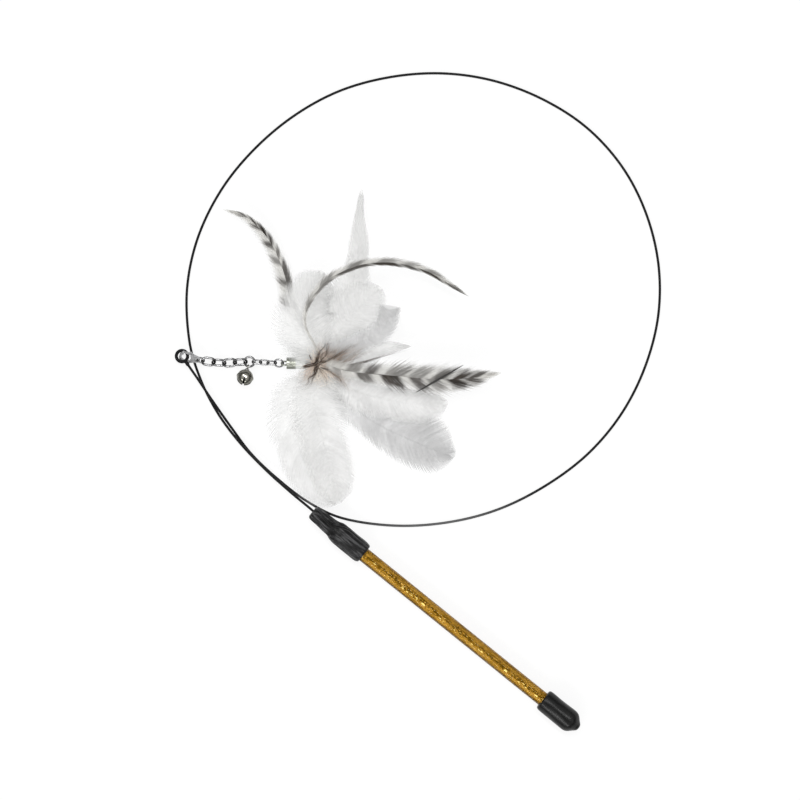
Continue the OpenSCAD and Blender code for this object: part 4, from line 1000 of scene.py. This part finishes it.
class WAND_OT_stage(bpy.types.Operator):
    """Make the camera over the photograph's middle, the white floor and the soft lamps"""

    bl_idname = "wand.stage"
    bl_label = "Camera, floor and lamps"

    def execute(self, context):
        look = context.scene.teaser_stage
        scene = context.scene
        scene.view_settings.view_transform = "Standard"
        camera = bpy.data.cameras.new("camera")
        camera.sensor_width = 36
        camera.lens = camera.sensor_width * look.camera_height / look.view_width
        camera.clip_end = 50
        eye = bpy.data.objects.new("camera", camera)
        eye.location = (*VIEW_MIDDLE, look.camera_height)
        eye.rotation_euler = (0, 0, math.atan2(VIEW_RIGHT[1], VIEW_RIGHT[0]))
        scene.collection.objects.link(eye)
        scene.camera = eye

        corners = np.c_[np.array([[-1, -1], [1, -1], [1, 1], [-1, 1]]) * FLOOR_HALF, np.full(4, FLOOR_Z)]
        floor = mesh_piece("floor", corners, np.array([[0, 1, 2, 3]]), self.floor_finish(look), rounded=False)

        for name, place in LAMPS:
            light = bpy.data.lights.new(name, "AREA")
            light.shape = "RECTANGLE"
            light.size, light.size_y = 0.5, 3.0
            light.energy = LAMP_POWER * look.lamp_strength
            lamp = bpy.data.objects.new(name, light)
            lamp.location = place
            lamp.rotation_euler = (0, math.atan2(place[0], place[2]), 0)
            scene.collection.objects.link(lamp)
        self.sky(scene)
        return {"FINISHED"}

    def floor_finish(self, look):
        """White to the camera and to mirrors, with a part of the real floor's soft shadow left in."""
        f = Finish("floor")
        paths = f.add("LightPath").outputs
        seen = f.sum("MAXIMUM", paths["Is Camera Ray"], paths["Is Glossy Ray"])
        seen = f.sum("MAXIMUM", seen, paths["Is Transmission Ray"])
        plain = f.add("BsdfDiffuse", {"Color": colour4(look.floor_colour)}).outputs[0]
        glow = f.add("Emission", {"Color": colour4(look.floor_colour), "Strength": 1.0}).outputs[0]
        return f.finish(f.either(f.times(seen, FLOOR_WHITE), plain, glow))

    def sky(self, scene):
        """A dome that is bright overhead and dim near the horizon, white to the camera."""
        world = bpy.data.worlds.new("sky")
        world.use_nodes = True
        scene.world = world
        n = Nodes(world.node_tree)
        rise = n.add("SeparateXYZ", {0: n.add("TexCoord").outputs["Generated"]}).outputs["Z"]
        greys = n.ramp(
            rise, (0.0, 0.3), (0.3, 0.15), (0.55, 0.55), (0.72, 0.9), (0.86, 0.8), (0.95, 0.3), (1.0, 0.2)
        )
        dome = n.add("Background", {"Color": greys}).outputs[0]
        plain = n.add("Background", {"Color": colour4(1)}).outputs[0]
        n.add("OutputWorld", {"Surface": n.either(n.add("LightPath").outputs["Is Camera Ray"], dome, plain)})


class WAND_OT_wire(bpy.types.Operator):
    """Lay the coated spring wire in its ring and finish its eye"""

    bl_idname = "wand.wire"
    bl_label = "Wire and eye"

    def execute(self, context):
        per = 12
        path = smooth(WIRE_ROUTE, per)
        path = np.vstack([path[:1], path[per:-per], path[-1:]])  # straight out of the boot, into the neck
        curve = bpy.data.curves.new("lure_wire", "CURVE")
        curve.dimensions = "3D"
        curve.bevel_depth = WIRE_D / 2 * MM
        curve.bevel_resolution = 3
        curve.use_fill_caps = True
        spline = curve.splines.new("POLY")
        spline.points.add(len(path) - 1)
        spline.points.foreach_set("co", np.c_[path * MM, np.ones(len(path))].astype(np.float32).ravel())
        finish = coated_wire(tuple(wand().wire_colour))
        curve.materials.append(finish)
        wire = bpy.data.objects.new("lure_wire", curve)
        context.scene.collection.objects.link(wire)
        stand_for(wire, "handle", "coated_wire", "wand_wire")
        repaint(finish, "wire_eye")
        return {"FINISHED"}


class WAND_OT_cap(bpy.types.Operator):
    """Turn the vinyl end cap with its rounded lip, cone end and nub

    The outside is r(a, s) = outline(s) + 0.05 cos(3a + s/4) + 0.03 cos(7a - 0.4s), less so where it
    is narrower than 5. The hole and the lip's edge stay round.
    """

    bl_idname = "wand.end_cap"
    bl_label = "End cap"

    def execute(self, context):
        rings = np.vstack([CAP_HOLE, smooth(CAP_OUTLINE, 4)])
        a, s, r = angles(96), rings[:, :1], rings[:, 1:]
        ripple = 0.05 * np.cos(3 * a + 0.25 * s) + 0.03 * np.cos(7 * a - 0.4 * s)
        outside = (np.arange(len(rings)) > 5)[:, None] * np.clip(r / 5, 0, 1)
        points, quads = turned(CAP_Y, rings[:, 0], r + ripple * outside)
        colour = tuple(wand().cap_colour)
        finish = vinyl("black_vinyl_cap", colour, low=0.26, high=0.34, grain=0.08, sheen=0.25, streak_strength=1.5)
        shell("butt_cap", points, quads, finish, "handle", "black_vinyl_cap", "end_cap")
        return {"FINISHED"}


class WAND_OT_boot(bpy.types.Operator):
    """Shape the vinyl boot: a folded tip that swells into a smooth sleeve

    r(a, s) = outline(s) - depth x folds x (tip + sleeve): the folds are raised cosines of 5 and 9
    turns and a plain one of 15 that sway with s, deep round s = 8.5 in the tip and faint on the
    sleeve. The boot stands a little aside of the handle's axis, most at its tip.
    """

    bl_idname = "wand.boot"
    bl_label = "Wire boot"

    def execute(self, context):
        rings = np.vstack([BOOT_TIP, smooth(BOOT_OUTLINE, 5), BOOT_HOLE])
        around = 160
        a, s, r = angles(around), rings[:, :1], rings[:, 1:]
        depth = wand().fold_depth / MM
        tip = np.exp(-((s - 8.5) / 8) ** 4)
        sleeve = 0.45 * np.clip((s - 15) / 4, 0, 1) * np.clip((36 - s) / 3, 0, 1)
        sway = a + 0.03 * s + 0.15 * np.sin(0.35 * s)
        folds = (
            0.7 * (0.5 + 0.5 * np.cos(5 * sway + 0.6)) ** 4
            + 0.55 * (0.5 + 0.5 * np.cos(9 * sway - 0.1 * s + 2.1)) ** 3
            + 0.25 * np.cos(15 * sway + 0.12 * s + 1.2)
        )
        outside = np.clip((r - 3.0) / 0.7, 0, 1) * (s < 35.8)
        points, quads = turned(TIP_Y, rings[:, 0], r - depth * folds * (tip + sleeve) * outside, around)
        aside = (0.3 + 0.45 * np.clip(1 - s / 16, 0, 1)) * np.where(s < 20, 1, np.clip(r - 4, 0, 1))
        points[:, 0] += np.repeat(aside[:, 0], around)
        colour = tuple(wand().boot_colour)
        finish = vinyl("black_vinyl_boot", colour, low=0.3, high=0.44, grain=0.3, sheen=0.2, streak_strength=9.0)
        shell("wire_sleeve", points, quads, finish, "handle", "black_vinyl_boot", "wire_boot")
        return {"FINISHED"}


class WAND_OT_tube(bpy.types.Operator):
    """Roll the glitter film against the clear tube's wall and finish the tube, plug, tang and stop

    The film is r(a, y) = bore / 2 + gap + small creases, round the handle's axis: touching the
    wall is what makes it fill the tube's whole width.
    """

    bl_idname = "wand.tube"
    bl_label = "Tube and glitter film"

    def execute(self, context):
        low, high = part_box("handle_tube")
        end = TO_MM * (high[1] - low[1])
        s = np.array([0, 0, TUBE_EDGE, end - TUBE_EDGE, end, end, end - TUBE_EDGE, TUBE_EDGE, 0])
        r = np.array([TUBE_BORE / 2] + [TUBE_WIDTH / 2] * 4 + [TUBE_BORE / 2] * 4)
        points, quads = turned(TO_MM * high[1], s, r)
        shell("clear_wall", points, quads, clear_tube(), "handle", "clear_tube", "handle_tube")

        first, last = (TO_MM * corner[1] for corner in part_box("glitter_film"))
        along, around = np.linspace(last, first, 420), 72
        a, y = angles(around), along[:, None]
        creases = 0.07 * np.sin(9 * a + 0.6 * np.sin(0.21 * y)) * np.sin(0.5 * y + 2 * a)
        creases = creases + 0.05 * np.sin(17 * a + 1.3 * np.sin(0.4 * y + a))
        radius = TUBE_BORE / 2 + FILM_GAP + creases * np.sin(0.13 * y) ** 2 + 0.02 * np.sin(31 * a + 0.9 * y)
        points, quads = turned(TIP_Y, TIP_Y - along, radius, around)
        finish = glitter_film(tuple(wand().gold))
        shell("rolled_film", points, quads, finish, "handle", "gold_glitter_film", "glitter_film")

        repaint(plain_plastic("plug_plastic", (0.62, 0.6, 0.56), 0.45), "tube_plug")
        repaint(metal("bare_spring_wire", (0.5, 0.5, 0.52), 0.2, 0.35), "wire_tang")
        repaint(metal("brass_crimp", (0.8, 0.6, 0.3), 0.2, 0.35), "tang_stop")
        return {"FINISHED"}


class WAND_OT_metal(bpy.types.Operator):
    """Finish the clasp, the chain's links, the bell and the head's metal"""

    bl_idname = "wand.metal"
    bl_label = "Clasp, chain and bell"

    def execute(self, context):
        silver = tuple(head().silver)
        clasp = ["clasp_body", "clasp_lever", "clasp_pin", "clasp_spring"]
        links = ["clasp_ring", "bell_link", "head_ring"]
        links += [f"chain_link_{k}" for k in range(1, 5)] + [f"small_link_{k}" for k in range(1, 4)]
        bell = ["bell_ring", "bell_upper_cup", "bell_lower_cup"]
        # The ferrule's greenish grey is partly its metal's colour and partly painted shade, for the shade it
        # lies in under the plumes.
        tin_and_shade, brass = (0.56, 0.58, 0.5), (0.7, 0.69, 0.6)
        repaint(metal("clasp_metal", silver, 0.25, 0.4, dent=0.1, side_shade=0.5, plate=0.7), *clasp)
        repaint(metal("ferrule_metal", tin_and_shade, 0.3, 0.45, dent=0.2, side_shade=0.4, plate=0.7), "head_ferrule")
        repaint(metal("chain_metal", shade(silver, 0.72), 0.12, 0.24, dent=0.15, side_shade=0.06), *links)
        repaint(metal("bell_metal", brass, 0.08, 0.2, dent=0.1, side_shade=0.3), *bell)
        repaint(metal("pellet_steel", (0.4, 0.4, 0.42), 0.2, 0.3), "bell_pellet")
        repaint(clear_glue(), "glue_sleeve")
        repaint(thread_finish((0.02, 0.02, 0.02)), "binding_thread")
        return {"FINISHED"}


class WAND_OT_plumes(bpy.types.Operator):
    """Grow the nine white plumes, each a quill with its barbs"""

    bl_idname = "wand.plumes"
    bl_label = "White plumes"

    def execute(self, context):
        white = plume_barbs("white_plume", 0.89, 0.985, (1.0, 1.0, 0.995))
        # A greyer copy of the white finish; on the low right plume this grey is painted shade.
        grey = plume_barbs("grey_white_plume", 0.72, 0.86, (1.0, 1.0, 1.0))
        spacing = head().barb_spacing / MM
        for seed, (name, slot, shares, reach, width, down, sides) in enumerate(PLUMES):
            route = feather_route(slot, shares, reach, width)
            barbs = vane(route, down, sides, spacing, 1.0, SEEDS["plume"] + seed, ragged=0.03, fade=0.2)
            parts = [web(route, down, sides, SEEDS["plume_web"] + seed), quill(route, 0.12), barbs]
            finish, kind = (grey, "grey_white_plume") if name in GREYER else (white, "white_plume")
            feather_piece("vane_" + name, parts, finish, kind, "plume_" + name)
        tufts = [bundle(SEEDS["white_down"] + seed, *row, WHITE_FLOOR) for seed, row in enumerate(WHITE_DOWN)]
        feather_piece("white_down", tufts, white, "white_plume")
        return {"FINISHED"}


class WAND_OT_hackles(bpy.types.Operator):
    """Grow the three barred hackles and lay the thin dark biot over the front one

    The biot's middle line is M + length x t x heading + 0.6 t^2 up, t from -1/2 to 1/2, and its
    radius is 0.5 (1 - 0.75 |2t|^3).
    """

    bl_idname = "wand.hackles"
    bl_label = "Barred hackles and biot"

    def execute(self, context):
        dark, pale = tuple(head().hackle_dark), tuple(head().hackle_pale)
        spacing = head().barb_spacing / MM
        for seed, row in enumerate(HACKLES):
            name, slot, shares, reach, width, down, sides, lean, bars, out, clear = row
            route = feather_route(slot, shares, reach, width)
            finish = hackle_barbs("hackle_" + name, bars, dark, pale, out, clear)
            barbs = vane(
                route, down, sides, spacing * 1.2, lean, SEEDS["hackle"] + seed, full=1.3, steps=12,
                ragged=0.16, fade=0.6, louvre=0.35, sweep=1.15, wild=0.06,
            )
            sheet = web(route, down, sides, SEEDS["hackle_web"] + seed, shy=0.9)
            parts = [sheet, barbs, quill(route, 0.1)]
            feather_piece("hackle_" + name, parts, finish, "barred_hackle", "barred_feather_" + name)
        t = np.linspace(-0.5, 0.5, 17)[:, None]
        along = np.array([math.cos(BIOT_TURN), math.sin(BIOT_TURN), 0.0])
        path = np.array(BIOT_MIDDLE) + BIOT_LEN * t * along + 0.6 * t**2 * UP
        points, quads = tube(path, 0.5 * (1 - (2 * np.abs(t[:, 0])) ** 3 * 0.75), 8)
        finish = plain_plastic("dark_biot", (0.022, 0.02, 0.018), 0.5)
        shell("biot_strand", from_head(points), quads, finish, "head", "dark_biot", "dark_biot")
        return {"FINISHED"}


class WAND_OT_fluff(bpy.types.Operator):
    """Grow the tuft of brown down over the front feather's root"""

    bl_idname = "wand.fluff"
    bl_label = "Brown fluff"

    def execute(self, context):
        finish = fluff_barbs((0.02, 0.014, 0.01), tuple(head().fluff_tan), (0.95, 0.85, 0.77))
        parts = []
        for seed, row in enumerate(DOWN):
            floor = DARK_FLOOR if row[1] < DARK_SHADE else PALE_FLOOR
            parts.append(bundle(SEEDS["down"] + seed, *row, floor))
        feather_piece("down_tuft", parts, finish, "brown_fluff", "brown_fluff")
        return {"FINISHED"}


class WAND_PT_panel(bpy.types.Panel):
    """Lists the wand's operators and settings"""

    bl_idname = "WAND_PT_panel"
    bl_label = "Cat teaser wand"
    bl_space_type = "VIEW_3D"
    bl_region_type = "UI"
    bl_category = "Wand"

    def draw(self, context):
        for operator in OPERATORS:
            self.layout.operator(operator.bl_idname)
        for group in (context.scene.teaser_wand, context.scene.teaser_head, context.scene.teaser_stage):
            box = self.layout.box()
            for name in group.__annotations__:
                box.prop(group, name)


OPERATORS = [
    WAND_OT_stage, WAND_OT_wire, WAND_OT_cap, WAND_OT_boot, WAND_OT_tube, WAND_OT_metal, WAND_OT_plumes,
    WAND_OT_hackles, WAND_OT_fluff,
]
CLASSES = [WandSettings, HeadSettings, StageSettings, *OPERATORS, WAND_PT_panel]


def register():
    for cls in CLASSES:
        bpy.utils.register_class(cls)
    bpy.types.Scene.teaser_wand = bpy.props.PointerProperty(type=WandSettings)
    bpy.types.Scene.teaser_head = bpy.props.PointerProperty(type=HeadSettings)
    bpy.types.Scene.teaser_stage = bpy.props.PointerProperty(type=StageSettings)


def unregister():
    del bpy.types.Scene.teaser_stage
    del bpy.types.Scene.teaser_head
    del bpy.types.Scene.teaser_wand
    for cls in reversed(CLASSES):
        bpy.utils.unregister_class(cls)


def main():
    register()
    bpy.ops.wand.stage()
    bpy.ops.wand.wire()
    bpy.ops.wand.end_cap()
    bpy.ops.wand.boot()
    bpy.ops.wand.tube()
    bpy.ops.wand.metal()
    bpy.ops.wand.plumes()
    bpy.ops.wand.hackles()
    bpy.ops.wand.fluff()


if __name__ == "__main__":
    main()
